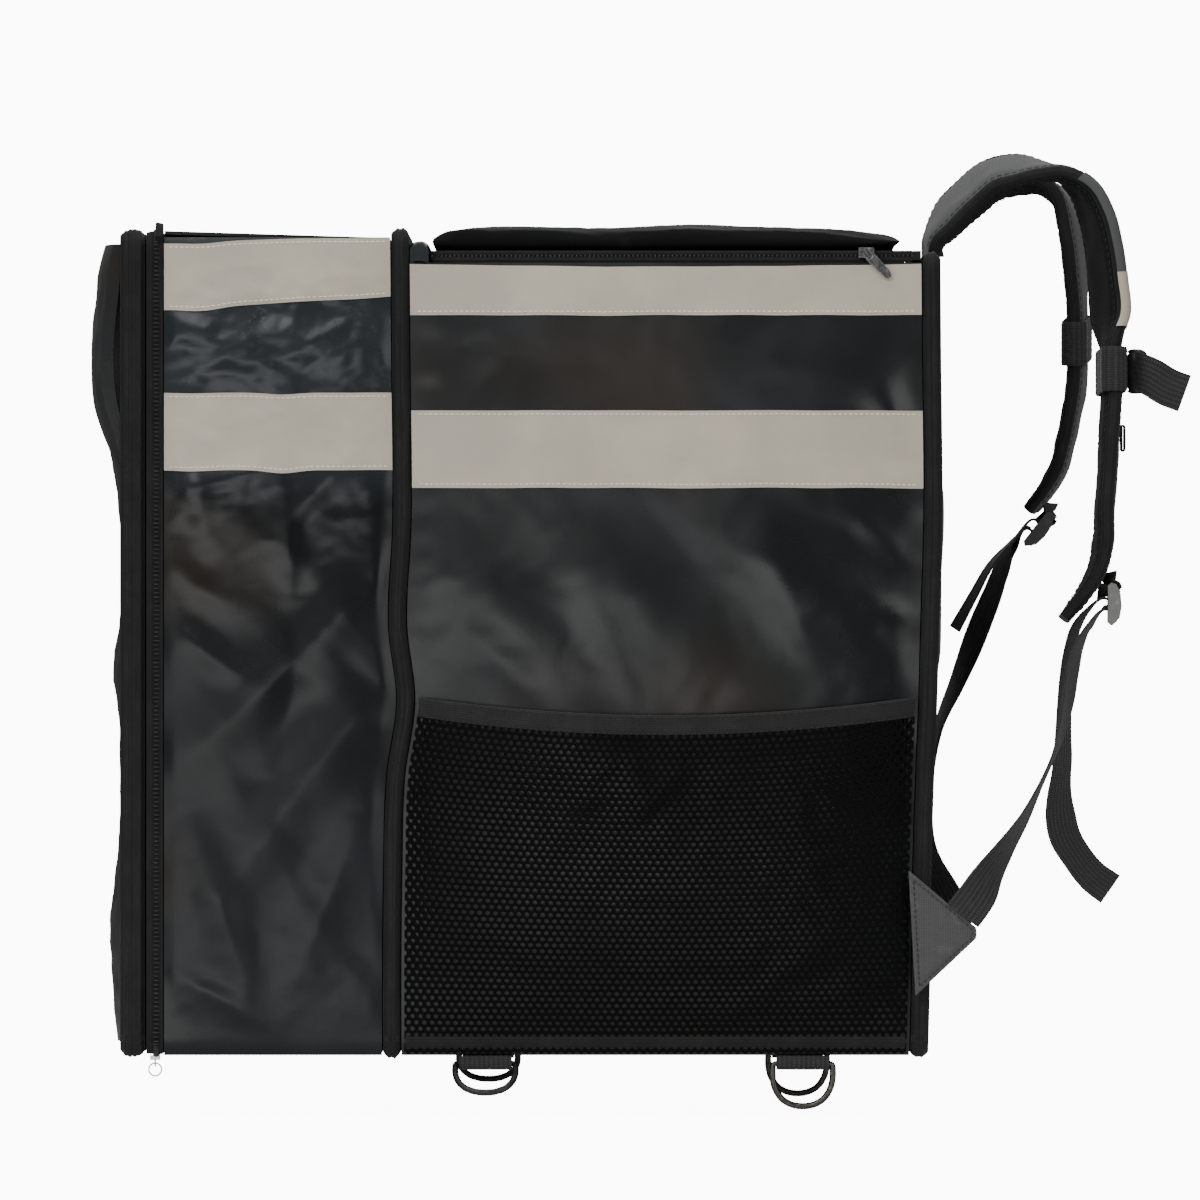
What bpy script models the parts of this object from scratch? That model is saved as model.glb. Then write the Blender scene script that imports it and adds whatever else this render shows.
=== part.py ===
"""An insulated delivery backpack with an expansion section, held as it is worn.

The origin is where the bag rests on the wearer's back: +X points to the wearer, +Z up, and the
side with the near strap faces -Y. All lengths are in metres.
"""

import math
from collections import namedtuple

import bmesh
import bpy
from mathutils import Matrix, Vector

# The body, from the wearer's side to the front door.
BODY_WIDTH = 0.430
BODY_HEIGHT = 0.532
PAD_PROUD = 0.002
BACK_EDGE_DEPTH = 0.0125
MAIN_DEPTH = 0.330
MIDDLE_EDGE_DEPTH = 0.012
EXPANSION_DEPTH = 0.147
ZIP_DEPTH = 0.0115
ZIP_GROOVE = 0.0025
FRONT_EDGE_DEPTH = 0.0145

# Walls and what is sewn to them.
MAIN_WALL = 0.006
THIN_WALL = 0.0025
EDGE_WALL = 0.008
EDGE_PROUD = 0.001
EDGE_ROUND = 0.009
EDGE_SOFT = 0.35
FRONT_ZIP_CROWN = 0.006
BACK_EDGE_DROP = 0.015
TUCK = 0.002
SEAM_GAP = 0.0006
LIE_GAP = 0.0003
SEAM_DRIFT = 0.008
MAIN_BELLY = 0.007
EXPANSION_BELLY = 0.003
FOLD_RISE = 0.004
WRINKLE_RISE = 0.005
ROW_STEP = 0.050

# Reflective tapes, measured down from the body's top.
TAPE_THICKNESS = 0.0006
MAIN_TOP = 0.0205
MAIN_HIGH_TAPE = (0.0215, 0.0330)
MAIN_LOW_TAPE = (0.1160, 0.0500)
EXPANSION_HIGH_TAPE = (0.0045, 0.0420)
EXPANSION_LOW_TAPE = (0.1045, 0.0500)

# The lid and the rim that its zip runs round.
LID_THICKNESS = 0.0125
LID_ROUND = 0.005
LID_TOP_RISE = 0.003
LID_FRONT_INSET = 0.013
LID_BACK_INSET = 0.006
LID_SIDE_INSET = 0.002
LID_ZIP_WIDTH = 0.006
TOP_RIM_DEPTH = 0.012
TOP_RIM_HEIGHT = 0.014

# The front door.
DOOR_WALL = 0.008
DOOR_BULGE = 0.0187
DOOR_DOME = 0.35
DOME_START = 0.7

# The back panel and its pad.
BACK_WALL = 0.006
BACK_PAD_WIDTH = 0.300
BACK_PAD_HEIGHT = 0.152
BACK_PAD_RISE = 0.046
BACK_PAD_WALL = 0.0065

# The side pockets.
NET_WALL = 0.0012
POCKET_ROOM = 0.009
POCKET_HEIGHT = 0.218
POCKET_SAG = 0.012
POCKET_SIDE_SHARE = 0.12
POCKET_SEAM_SHARE = 0.006
BAND_HEIGHT = 0.0135
BAND_WALL = 0.0025

# Webbing, buckles and rings.
WEBBING_WIDTH = 0.025
WEBBING_WALL = 0.0015
RING_WIRE = 0.005
RING_WIDTH = 0.044
RING_DROP = 0.033
RING_TAB_WIDTH = 0.034
RING_TAB_DROP = 0.0052
RING_TAB_GAP = 0.0004
RING_TAB_INSET = 0.005
RING_PLACES = {"front": 0.166, "back": 0.790}
RING_SWING = {"front": 48.0, "back": 0.0}
ANCHOR_HEIGHT = 0.080
ANCHOR_REACH = 0.044
ANCHOR_OVERLAP = 0.021
ANCHOR_RISE = 0.039
ANCHOR_WALL = 0.002

# The shoulder straps.
STRAP_WIDTH = 0.068
STRAP_WALL = 0.012
STRAP_END_WALL = 0.4
STRAP_ROOT_INSET = 0.0057
STRAP_REACH = 0.118
STRAP_DROP = 0.237
STRAP_ROOT_SPREAD = 0.072
STRAP_END_SPREAD = 0.108

# Small hardware.
LOCK_WIDTH = 0.032
LOCK_HEIGHT = 0.028
LOCK_DEPTH = 0.009
LOCK_WALL = 0.0025
LOCK_BAR = 0.0035
LOCK_GAP = 0.0004
LOCK_BAR_SPACING = 0.37
SLEEVE_HEIGHT = 0.029
SLEEVE_GAP = 0.0008
CHEST_BUCKLE_DEPTH = 0.016
CHEST_BUCKLE_HEIGHT = 0.030
CHEST_BUCKLE_WIDTH = 0.018
CHEST_BUCKLE_WALL = 0.0017
CHEST_TAIL_REACH = 0.033
KEEPER_DEPTH = 0.0038
KEEPER_HEIGHT = 0.018
KEEPER_WIDTH = 0.012
KEEPER_WALL = 0.0010
PULL_LENGTH = 0.022
PULL_WIDTH = 0.0065
PULL_WALL = 0.0012
PULL_EYE = 0.0041
SLIDER_LENGTH = 0.010
SLIDER_WIDTH = 0.0065
SLIDER_WALL = 0.003
BRIDGE_WIRE = 0.0014
RING_PULL_RADIUS = 0.0042
RING_PULL_WIRE = 0.0012

# Places along the body, worked out from the sizes above.
BACK_X = -PAD_PROUD
MAIN_BACK_X = BACK_X - BACK_EDGE_DEPTH
MAIN_FRONT_X = MAIN_BACK_X - MAIN_DEPTH
EXPANSION_BACK_X = MAIN_FRONT_X - MIDDLE_EDGE_DEPTH
EXPANSION_FRONT_X = EXPANSION_BACK_X - EXPANSION_DEPTH
ZIP_FRONT_X = EXPANSION_FRONT_X - ZIP_DEPTH
FRONT_EDGE_BACK_X = ZIP_FRONT_X - ZIP_GROOVE
FRONT_X = FRONT_EDGE_BACK_X - FRONT_EDGE_DEPTH
TOP_Z = BODY_HEIGHT / 2
LOW_Z = -BODY_HEIGHT / 2
SIDE_Y = BODY_WIDTH / 2
BACK_EDGE_TOP_Z = TOP_Z - BACK_EDGE_DROP
INNER_Y = SIDE_Y - EDGE_WALL - EDGE_PROUD - SEAM_GAP

SIDES = {"near": -1, "far": 1}

# How the seams wander along the height, as shares of the body's height and of SEAM_DRIFT.
SeamRow = namedtuple("SeamRow", "height back middle")
SEAM_ROWS = (
    SeamRow(0.00, -0.97, -0.73),
    SeamRow(0.10, -0.81, -0.73),
    SeamRow(0.22, -0.73, -0.65),
    SeamRow(0.34, -0.48, -0.40),
    SeamRow(0.43, -0.24, 0.40),
    SeamRow(0.52, -0.08, -0.25),
    SeamRow(0.64, 0.16, 0.08),
    SeamRow(0.85, 0.08, 0.00),
    SeamRow(1.00, 0.00, -0.08),
)

# Soft folds of a side wall: both ends and the spread are shares of the wall, the rise is a share of
# the named fold height.
Fold = namedtuple("Fold", "start_across start_up end_across end_up spread rise")
MAIN_FOLDS = (
    Fold(0.05, 0.62, 0.30, 0.50, 0.06, 0.8),
    Fold(0.30, 0.66, 0.62, 0.46, 0.07, 1.0),
    Fold(0.62, 0.66, 0.92, 0.52, 0.06, 0.9),
    Fold(0.20, 0.46, 0.50, 0.30, 0.08, 0.6),
    Fold(0.90, 0.86, 0.97, 0.78, 0.04, 0.7),
)
EXPANSION_FOLDS = (
    Fold(0.05, 0.90, 0.45, 0.83, 0.05, 0.9),
    Fold(0.40, 0.88, 0.95, 0.86, 0.05, 0.7),
    Fold(0.10, 0.70, 0.20, 0.60, 0.04, 0.9),
    Fold(0.50, 0.70, 0.55, 0.60, 0.04, 0.8),
    Fold(0.95, 0.52, 0.10, 0.32, 0.06, 1.0),
    Fold(0.95, 0.42, 0.20, 0.10, 0.06, 0.9),
    Fold(0.15, 0.25, 0.45, 0.05, 0.05, 0.8),
)

# The door's outline from the side: how far it stands out, as a share of DOOR_BULGE.
DoorRow = namedtuple("DoorRow", "height proud")
DOOR_ROWS = (
    DoorRow(0.00, 0.10),
    DoorRow(0.06, 0.22),
    DoorRow(0.164, 0.345),
    DoorRow(0.225, 0.12),
    DoorRow(0.32, 0.00),
    DoorRow(0.40, 0.03),
    DoorRow(0.473, 0.24),
    DoorRow(0.53, 0.00),
    DoorRow(0.60, -0.03),
    DoorRow(0.70, 0.20),
    DoorRow(0.735, 0.40),
    DoorRow(0.79, 0.86),
    DoorRow(0.84, 1.00),
    DoorRow(0.92, 0.83),
    DoorRow(0.98, 0.60),
    DoorRow(1.00, 0.40),
)

# The lid's wavy top, as shares of the lid's length and of LID_TOP_RISE.
LidRow = namedtuple("LidRow", "along rise")
LID_ROWS = (
    LidRow(0.00, -0.80),
    LidRow(0.03, 0.43),
    LidRow(0.14, 1.00),
    LidRow(0.36, 0.43),
    LidRow(0.54, 1.20),
    LidRow(0.70, 0.65),
    LidRow(0.80, 0.55),
    LidRow(0.89, -0.20),
    LidRow(0.965, -1.30),
    LidRow(1.00, -2.40),
)

# A shoulder strap's run: reach to the wearer and drop from the root are shares of STRAP_REACH and
# STRAP_DROP, turn is the lean of its width in degrees, and girth a share of the strap's width.
StrapRow = namedtuple("StrapRow", "reach drop turn girth")
NEAR_STRAP = (
    StrapRow(0.027, 0.000, 3, 0.90),
    StrapRow(0.022, -0.043, -3, 0.95),
    StrapRow(0.087, -0.103, -12, 1.00),
    StrapRow(0.208, -0.168, -14, 1.00),
    StrapRow(0.350, -0.223, -14, 1.00),
    StrapRow(0.492, -0.236, -13, 1.00),
    StrapRow(0.617, -0.232, -5, 1.00),
    StrapRow(0.743, -0.220, 2, 1.00),
    StrapRow(0.852, -0.174, 10, 1.00),
    StrapRow(0.918, -0.106, 13, 1.00),
    StrapRow(0.956, -0.024, 14, 1.00),
    StrapRow(0.978, 0.071, 15, 1.00),
    StrapRow(0.995, 0.179, 14, 1.00),
    StrapRow(1.000, 0.245, 3, 1.00),
    StrapRow(1.000, 0.397, 3, 1.00),
    StrapRow(0.989, 0.478, 3, 1.00),
    StrapRow(0.978, 0.587, 2, 1.00),
    StrapRow(0.962, 0.696, 2, 0.98),
    StrapRow(0.952, 0.791, 4, 0.92),
    StrapRow(0.918, 0.864, 4, 0.78),
    StrapRow(0.842, 0.929, 3, 0.62),
    StrapRow(0.738, 0.995, 2, 0.45),
)
FAR_STRAP = (
    StrapRow(0.027, 0.000, 3, 0.90),
    StrapRow(0.022, -0.043, -3, 0.95),
    StrapRow(0.098, -0.092, -12, 1.00),
    StrapRow(0.240, -0.152, -12, 1.00),
    StrapRow(0.383, -0.200, -10, 1.00),
    StrapRow(0.503, -0.214, -8, 1.00),
    StrapRow(0.623, -0.208, -3, 1.00),
    StrapRow(0.710, -0.186, 3, 1.00),
    StrapRow(0.776, -0.141, 8, 1.00),
    StrapRow(0.814, -0.060, 8, 1.00),
    StrapRow(0.836, 0.030, 8, 1.00),
    StrapRow(0.842, 0.125, 5, 1.00),
    StrapRow(0.842, 0.234, 5, 1.00),
    StrapRow(0.842, 0.342, 5, 1.00),
    StrapRow(0.814, 0.424, 4, 1.00),
    StrapRow(0.781, 0.505, 4, 0.98),
    StrapRow(0.738, 0.582, 4, 0.92),
    StrapRow(0.661, 0.647, 4, 0.76),
    StrapRow(0.590, 0.690, 4, 0.60),
)

# The webbing between an anchor's tip and a ladder lock: reach, rise and side are shares of the way
# between the two, turn the lean of its width in degrees.
WebRow = namedtuple("WebRow", "reach rise side turn")
NEAR_WEB = (
    WebRow(-0.108, 0.053, 0.000, 88),
    WebRow(-0.008, 0.108, 0.010, 80),
    WebRow(0.100, 0.183, 0.060, 50),
    WebRow(0.238, 0.269, 0.160, 28),
    WebRow(0.377, 0.359, 0.270, 15),
    WebRow(0.500, 0.461, 0.380, 6),
    WebRow(0.577, 0.533, 0.450, 5),
    WebRow(0.654, 0.625, 0.530, 12),
    WebRow(0.708, 0.718, 0.600, 18),
    WebRow(0.746, 0.805, 0.670, 20),
    WebRow(0.808, 0.885, 0.770, 16),
    WebRow(0.869, 0.932, 0.860, 10),
    WebRow(0.938, 0.972, 0.960, 4),
)
FAR_WEB = (
    WebRow(-0.10, -0.012, 0.000, 88),
    WebRow(-0.35, 0.060, -0.050, 70),
    WebRow(-0.62, 0.170, -0.060, 30),
    WebRow(-0.65, 0.330, 0.010, 12),
    WebRow(-0.48, 0.500, 0.110, 12),
    WebRow(-0.17, 0.620, 0.300, 24),
    WebRow(0.12, 0.730, 0.500, 34),
    WebRow(0.36, 0.820, 0.680, 30),
    WebRow(0.58, 0.905, 0.850, 22),
    WebRow(0.76, 0.960, 0.950, 12),
)

# The free tail below the near lock: reach and drop are shares of TAIL_REACH and TAIL_DROP.
TAIL_REACH = 0.035
TAIL_DROP = 0.185
TailRow = namedtuple("TailRow", "reach drop side turn")
NEAR_TAIL = (
    TailRow(-0.48, 0.020, 0.00, 0),
    TailRow(-0.70, 0.080, 0.02, 3),
    TailRow(-0.82, 0.165, 0.03, 6),
    TailRow(-0.89, 0.265, 0.03, 8),
    TailRow(-0.92, 0.360, 0.03, 14),
    TailRow(-0.94, 0.467, 0.03, 22),
    TailRow(-0.95, 0.537, 0.03, 29),
    TailRow(-0.98, 0.606, 0.03, 31),
    TailRow(-1.01, 0.676, 0.02, 40),
    TailRow(-0.99, 0.746, 0.02, 52),
    TailRow(-0.91, 0.815, 0.01, 55),
    TailRow(-0.69, 0.885, 0.01, 52),
    TailRow(-0.39, 0.955, 0.00, 56),
    TailRow(-0.07, 1.000, 0.00, 60),
)
FAR_TAIL = (
    TailRow(-0.48, 0.030, 0.00, 2),
    TailRow(-0.92, 0.120, 0.03, 8),
    TailRow(-1.25, 0.230, 0.05, 12),
    TailRow(-1.60, 0.350, 0.07, 16),
)

# Finishes: base colour, roughness and metallic value.
Finish = namedtuple("Finish", "colour roughness metallic")
FINISHES = {
    "tarpaulin": Finish((0.012, 0.013, 0.016), 0.32, 0.0),
    "edging": Finish((0.010, 0.010, 0.011), 0.70, 0.0),
    "zip_cloth": Finish((0.016, 0.016, 0.017), 0.75, 0.0),
    "reflective_tape": Finish((0.42, 0.38, 0.33), 0.45, 0.0),
    "net": Finish((0.008, 0.008, 0.008), 0.85, 0.0),
    "webbing": Finish((0.045, 0.045, 0.047), 0.80, 0.0),
    "strap_cloth": Finish((0.070, 0.070, 0.072), 0.85, 0.0),
    "anchor_cloth": Finish((0.080, 0.080, 0.080), 0.85, 0.0),
    "black_plastic": Finish((0.010, 0.010, 0.010), 0.45, 0.0),
    "grey_plastic": Finish((0.36, 0.36, 0.35), 0.50, 0.0),
    "dark_metal": Finish((0.10, 0.10, 0.09), 0.35, 1.0),
    "bright_metal": Finish((0.55, 0.55, 0.56), 0.25, 1.0),
}


def clear_scene():
    for item in list(bpy.data.objects):
        bpy.data.objects.remove(item, do_unlink=True)


def material_of(name):
    """The finish as a material, made once."""
    material = bpy.data.materials.get(name)
    if material is None:
        finish = FINISHES[name]
        material = bpy.data.materials.new(name)
        material.use_nodes = True
        shader = material.node_tree.nodes["Principled BSDF"]
        shader.inputs["Base Color"].default_value = (*finish.colour, 1.0)
        shader.inputs["Roughness"].default_value = finish.roughness
        shader.inputs["Metallic"].default_value = finish.metallic
    return material


def add_solid(name, points, faces, finish, parent=None):
    """One closed mesh object whose faces point outward. A parent is an empty on a joint's axis."""
    mesh = bpy.data.meshes.new(name)
    if parent is not None:
        to_parent = parent.matrix_world.inverted()
        points = [to_parent @ Vector(point) for point in points]
    mesh.from_pydata([tuple(point) for point in points], [], faces)
    shape = bmesh.new()
    shape.from_mesh(mesh)
    bmesh.ops.recalc_face_normals(shape, faces=shape.faces)
    shape.to_mesh(mesh)
    shape.free()
    mesh.shade_smooth()
    mesh.set_sharp_from_angle(angle=math.radians(40))
    mesh.materials.append(material_of(finish))
    solid = bpy.data.objects.new(name, mesh)
    bpy.context.scene.collection.objects.link(solid)
    solid.parent = parent
    return solid


def add_pivot(name, place, along):
    """An empty at a joint, its Z on the joint's axis."""
    pivot = bpy.data.objects.new(name, None)
    turn = Vector((0, 0, 1)).rotation_difference(Vector(along)).to_matrix().to_4x4()
    pivot.matrix_world = Matrix.Translation(place) @ turn
    bpy.context.scene.collection.objects.link(pivot)
    bpy.context.view_layer.update()
    return pivot


def between(low, high, share):
    return low + (high - low) * share


def spread(low, high, count):
    """Evenly spaced values, both ends included."""
    return [between(low, high, step / count) for step in range(count + 1)]


def rows_through(marks, step):
    """The marks in order, with more rows where two lie further apart than the step."""
    marks = sorted(set(marks))
    rows = [marks[0]]
    for low, high in zip(marks, marks[1:]):
        rows += spread(low, high, max(1, math.ceil((high - low) / step)))[1:]
    return rows


def read_table(table, key, column, at):
    """A table's column, read in straight lines between its rows."""
    first, last = table[0], table[-1]
    if at <= getattr(first, key):
        return getattr(first, column)
    for low, high in zip(table, table[1:]):
        start, end = getattr(low, key), getattr(high, key)
        if at <= end:
            return between(getattr(low, column), getattr(high, column), (at - start) / (end - start))
    return getattr(last, column)


def share_of_height(z):
    return (z - LOW_Z) / BODY_HEIGHT


def height_of(share):
    return LOW_Z + share * BODY_HEIGHT


def back_x(z):
    """The wandering line of the back edging's outer face."""
    return BACK_X + SEAM_DRIFT * read_table(SEAM_ROWS, "height", "back", share_of_height(z))


def main_back_x(z):
    return back_x(z) - BACK_EDGE_DEPTH


def main_front_x(z):
    return MAIN_FRONT_X + SEAM_DRIFT * read_table(SEAM_ROWS, "height", "middle", share_of_height(z))


def expansion_back_x(z):
    return main_front_x(z) - MIDDLE_EDGE_DEPTH


def door_x(z):
    """The door's outer face."""
    return FRONT_X - DOOR_BULGE * read_table(DOOR_ROWS, "height", "proud", share_of_height(z))


def grid_faces(rows, columns, offset, flip):
    """A grid's triangles. Both faces of a sheet share their diagonals, so layers lie parallel."""
    faces = []
    for row in range(rows - 1):
        for column in range(columns - 1):
            a = offset + row * columns + column
            c = a + columns + 1
            for face in ((a, a + 1, c), (a, c, a + columns)):
                faces.append(face[::-1] if flip else face)
    return faces


def slab(name, outer, inner, finish):
    """A sheet with a thickness, from two equal grids of points."""
    rows, columns = len(outer), len(outer[0])
    count = rows * columns
    points = [point for grid in (outer, inner) for row in grid for point in row]
    faces = grid_faces(rows, columns, 0, False) + grid_faces(rows, columns, count, True)
    rim = list(range(columns))
    rim += [row * columns + columns - 1 for row in range(1, rows)]
    rim += [(rows - 1) * columns + column for column in range(columns - 2, -1, -1)]
    rim += [row * columns for row in range(rows - 2, 0, -1)]
    for a, b in zip(rim, rim[1:] + rim[:1]):
        faces.append((b, a, a + count, b + count))
    return add_solid(name, points, faces, finish)


def loft(name, sections, finish, looped=False, parent=None):
    """A skin over equal rings of points, closed into a loop or capped at both ends."""
    size = len(sections[0])
    points = [point for section in sections for point in section]
    faces = []
    pairs = list(zip(range(len(sections)), range(1, len(sections))))
    if looped:
        pairs.append((len(sections) - 1, 0))
    for first, second in pairs:
        for a in range(size):
            b = (a + 1) % size
            faces.append(
                (first * size + a, first * size + b, second * size + b, second * size + a)
            )
    if not looped:
        faces.append(tuple(range(size))[::-1])
        faces.append(tuple(range((len(sections) - 1) * size, len(sections) * size)))
    return add_solid(name, points, faces, finish, parent)


def box_solid(name, low, high, finish, parent=None):
    """A plain block between two corners."""
    outline = [(low[0], low[1]), (high[0], low[1]), (high[0], high[1]), (low[0], high[1])]
    sections = [[(x, y, z) for x, y in outline] for z in (low[2], high[2])]
    return loft(name, sections, finish, parent=parent)


def fused(name, finish, pieces):
    """Several overlapping closed pieces joined into one body."""
    body = pieces[0]
    for piece in pieces[1:]:
        union = body.modifiers.new("join", "BOOLEAN")
        union.operation = "UNION"
        union.object = piece
        piece.hide_render = True
        piece.display_type = "WIRE"
    body.name = name
    body.data.materials.clear()
    body.data.materials.append(material_of(finish))
    return body


class SideCloth:
    """A side wall's outer surface between two seams, before it is given a thickness."""

    def __init__(self, front, back, low, high, belly, folds, rise):
        self.front = front
        self.back = back
        self.low = low
        self.high = high
        self.belly = belly
        self.folds = folds
        self.rise = rise

    def fold_rise(self, across, up):
        """The folds' height there, fading out towards the seams."""
        total = 0.0
        for fold in self.folds:
            start = Vector((fold.start_across, fold.start_up))
            along = Vector((fold.end_across, fold.end_up)) - start
            spot = Vector((across, up)) - start
            share = min(1.0, max(0.0, spot.dot(along) / along.length_squared))
            gap = (spot - along * share).length
            total += fold.rise * math.exp(-((gap / fold.spread) ** 2))
        fade = min(1.0, 8 * across * (1 - across)) * min(1.0, 12 * up * (1 - up))
        return self.rise * total * fade

    def out(self, across, z):
        """How far the surface stands out from the body's middle."""
        up = (z - self.low) / (self.high - self.low)
        swell = (1 - (2 * across - 1) ** 4) * (1 - (2 * up - 1) ** 4)
        edge = min(z - LOW_Z, TOP_Z - z)
        tuck = TUCK * max(0.0, 1 - edge / EDGE_ROUND) ** 2
        return SIDE_Y - EDGE_PROUD - tuck + self.belly * swell + self.fold_rise(across, up)

    def point(self, side, across, z, lift):
        front = self.front(z) + SEAM_GAP / 2
        back = self.back(z) - SEAM_GAP / 2
        return (between(front, back, across), side * (self.out(across, z) + lift), z)

    def sheet(self, name, side, columns, rows, inside, outside, finish):
        """A slab that follows the surface between two lifts above it."""
        grids = [
            [[self.point(side, across, z, lift) for across in columns] for z in rows]
            for lift in (outside, inside)
        ]
        return slab(name, grids[0], grids[1], finish)


def tape_span(tape):
    """A tape's lower and upper edge from its distance below the top and its width."""
    return TOP_Z - tape[0] - tape[1], TOP_Z - tape[0]


def build_side(cloth, section, wall, tapes, columns):
    """Both side walls of one section, each with its tapes."""
    spans = {name: tape_span(tape) for name, tape in tapes.items()}
    marks = [height_of(row.height) for row in SEAM_ROWS]
    marks = [z for z in marks if cloth.low < z < cloth.high]
    marks += [z for span in spans.values() for z in span]
    marks += [cloth.low, cloth.low + EDGE_ROUND, cloth.high]
    rows = rows_through(marks, ROW_STEP)
    for label, side in SIDES.items():
        cloth.sheet(f"{section}_side_{label}", side, columns, rows, -wall, 0.0, "tarpaulin")
        for name, (low, high) in spans.items():
            inside = [z for z in rows if low <= z <= high]
            lifts = (LIE_GAP, LIE_GAP + TAPE_THICKNESS)
            cloth.sheet(
                f"{section}_{name}_tape_{label}", side, columns, inside, *lifts, "reflective_tape"
            )


MAIN_CLOTH = SideCloth(
    main_front_x, main_back_x, LOW_Z, TOP_Z - MAIN_TOP, MAIN_BELLY, MAIN_FOLDS, FOLD_RISE
)
EXPANSION_CLOTH = SideCloth(
    lambda z: EXPANSION_FRONT_X,
    expansion_back_x,
    LOW_Z,
    TOP_Z - EXPANSION_HIGH_TAPE[0] + LIE_GAP,
    EXPANSION_BELLY,
    EXPANSION_FOLDS,
    WRINKLE_RISE,
)


def rim_stations(half_width, low, high, radius):
    """Points and outward directions round the body, seen along X, starting low on the near side."""
    stations = []
    rows = [height_of(row.height) for row in SEAM_ROWS]
    rows = [z for z in rows if low + radius < z < high - radius]
    corners = (
        (-half_width + radius, low + radius, math.pi),
        (half_width - radius, low + radius, 1.5 * math.pi),
        (half_width - radius, high - radius, 0.0),
        (-half_width + radius, high - radius, 0.5 * math.pi),
    )
    right = [(half_width, z, 0.0) for z in rows]
    left = [(-half_width, z, math.pi) for z in rows[::-1]]
    straights = ([], right, [], left)
    for (y, z, start), straight in zip(corners, straights):
        for step in range(4):
            angle = start + step * math.pi / 6
            out = (math.cos(angle), math.sin(angle))
            stations.append((y + radius * out[0], z + radius * out[1], out))
        for y_line, z_line, angle in straight:
            stations.append((y_line, z_line, (math.cos(angle), math.sin(angle))))
    return stations


def edging(name, front, back, wall, high, finish, crown=0.0):
    """An edge strip round the body: front and back give its X at a height."""
    soft = wall * EDGE_SOFT
    outline = ((0.0, -wall), (1.0, -wall), (1.0, -soft), (0.8, 0.0), (0.2, 0.0), (0.0, -soft))
    sections = []
    for y, z, out in rim_stations(SIDE_Y, LOW_Z, high, EDGE_ROUND):
        start = front(z) + SEAM_GAP / 2
        end = back(z) - SEAM_GAP / 2
        peak = crown if y < -SIDE_Y / 2 and z > high - EDGE_ROUND / 2 else 0.0
        section = []
        for share, lift in outline:
            rise = lift + (peak if lift > -wall and share >= 0.8 else 0.0)
            section.append((between(start, end, share), y + out[0] * rise, z + out[1] * rise))
        sections.append(section)
    return loft(name, sections, finish, looped=True)


def build_edgings():
    edging("back_edging", main_back_x, back_x, EDGE_WALL, BACK_EDGE_TOP_Z, "edging")
    edging("middle_edging", expansion_back_x, main_front_x, EDGE_WALL, TOP_Z, "edging")
    edging(
        "front_zip_tape",
        lambda z: ZIP_FRONT_X,
        lambda z: EXPANSION_FRONT_X,
        EDGE_WALL,
        TOP_Z,
        "zip_cloth",
        crown=FRONT_ZIP_CROWN,
    )
    edging(
        "front_edging",
        lambda z: FRONT_X,
        lambda z: FRONT_EDGE_BACK_X + ZIP_GROOVE - SEAM_GAP / 2,
        EDGE_WALL,
        TOP_Z,
        "edging",
    )


def upright_slab(name, outer_x, wall, half_width, heights, sideways, finish, dome=0.0):
    """A panel across the body: outer_x gives its outer face, and the wall runs to +X or, if it is
    negative, to -X."""
    ys = [between(-half_width, half_width, share) for share in sideways]
    outer, inner = [], []
    for z in heights:
        row = []
        for y in ys:
            drop = dome * max(0.0, (abs(y) / half_width - DOME_START) / (1 - DOME_START)) ** 2
            row.append((outer_x(z) + math.copysign(drop, wall), y, z))
        outer.append(row)
        inner.append([(x + wall, y, z) for x, y, z in row])
    return slab(name, outer, inner, finish)


def build_door():
    low = LOW_Z + EDGE_WALL + SEAM_GAP
    high = TOP_Z - EDGE_WALL - SEAM_GAP
    marks = [height_of(row.height) for row in DOOR_ROWS]
    heights = [low] + [z for z in marks if low + SEAM_GAP < z < high - SEAM_GAP] + [high]
    sideways = (0.0, 0.04, 0.15, 0.35, 0.5, 0.65, 0.85, 0.96, 1.0)
    half_width = SIDE_Y - EDGE_WALL - SEAM_GAP
    dome = DOOR_BULGE * DOOR_DOME
    upright_slab("front_door", door_x, DOOR_WALL, half_width, heights, sideways, "tarpaulin", dome)


def build_back():
    low = LOW_Z + EDGE_WALL + SEAM_GAP
    high = BACK_EDGE_TOP_Z - EDGE_WALL - SEAM_GAP
    marks = [height_of(row.height) for row in SEAM_ROWS]
    heights = [low] + [z for z in marks if low < z < high] + [high]
    half_width = SIDE_Y - EDGE_WALL - SEAM_GAP
    shares = spread(0.0, 1.0, 4)
    set_in = BACK_PAD_WALL - PAD_PROUD + LIE_GAP
    upright_slab(
        "back_panel", lambda z: back_x(z) - set_in, -BACK_WALL, half_width, heights, shares, "tarpaulin"
    )
    pad_low = BACK_PAD_RISE - BACK_PAD_HEIGHT / 2
    pad_high = BACK_PAD_RISE + BACK_PAD_HEIGHT / 2
    marks = [z for z in marks if pad_low < z < pad_high]
    rows = rows_through([pad_low, pad_high] + marks, ROW_STEP)
    upright_slab(
        "back_pad",
        lambda z: back_x(z) + PAD_PROUD,
        -BACK_PAD_WALL,
        BACK_PAD_WIDTH / 2,
        rows,
        (0.0, 0.05, 0.5, 0.95, 1.0),
        "net",
    )


def flat_slab(name, front, back, half_width, top, wall, finish, columns=2):
    """A level panel: top gives its upper face at a share of its depth."""
    shares = spread(0.0, 1.0, columns)
    ys = spread(-half_width, half_width, 2)
    upper = [[(between(front, back, share), y, top(share)) for share in shares] for y in ys]
    lower = [[(x, y, z - wall) for x, y, z in row] for row in upper]
    return slab(name, upper, lower, finish)


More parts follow.
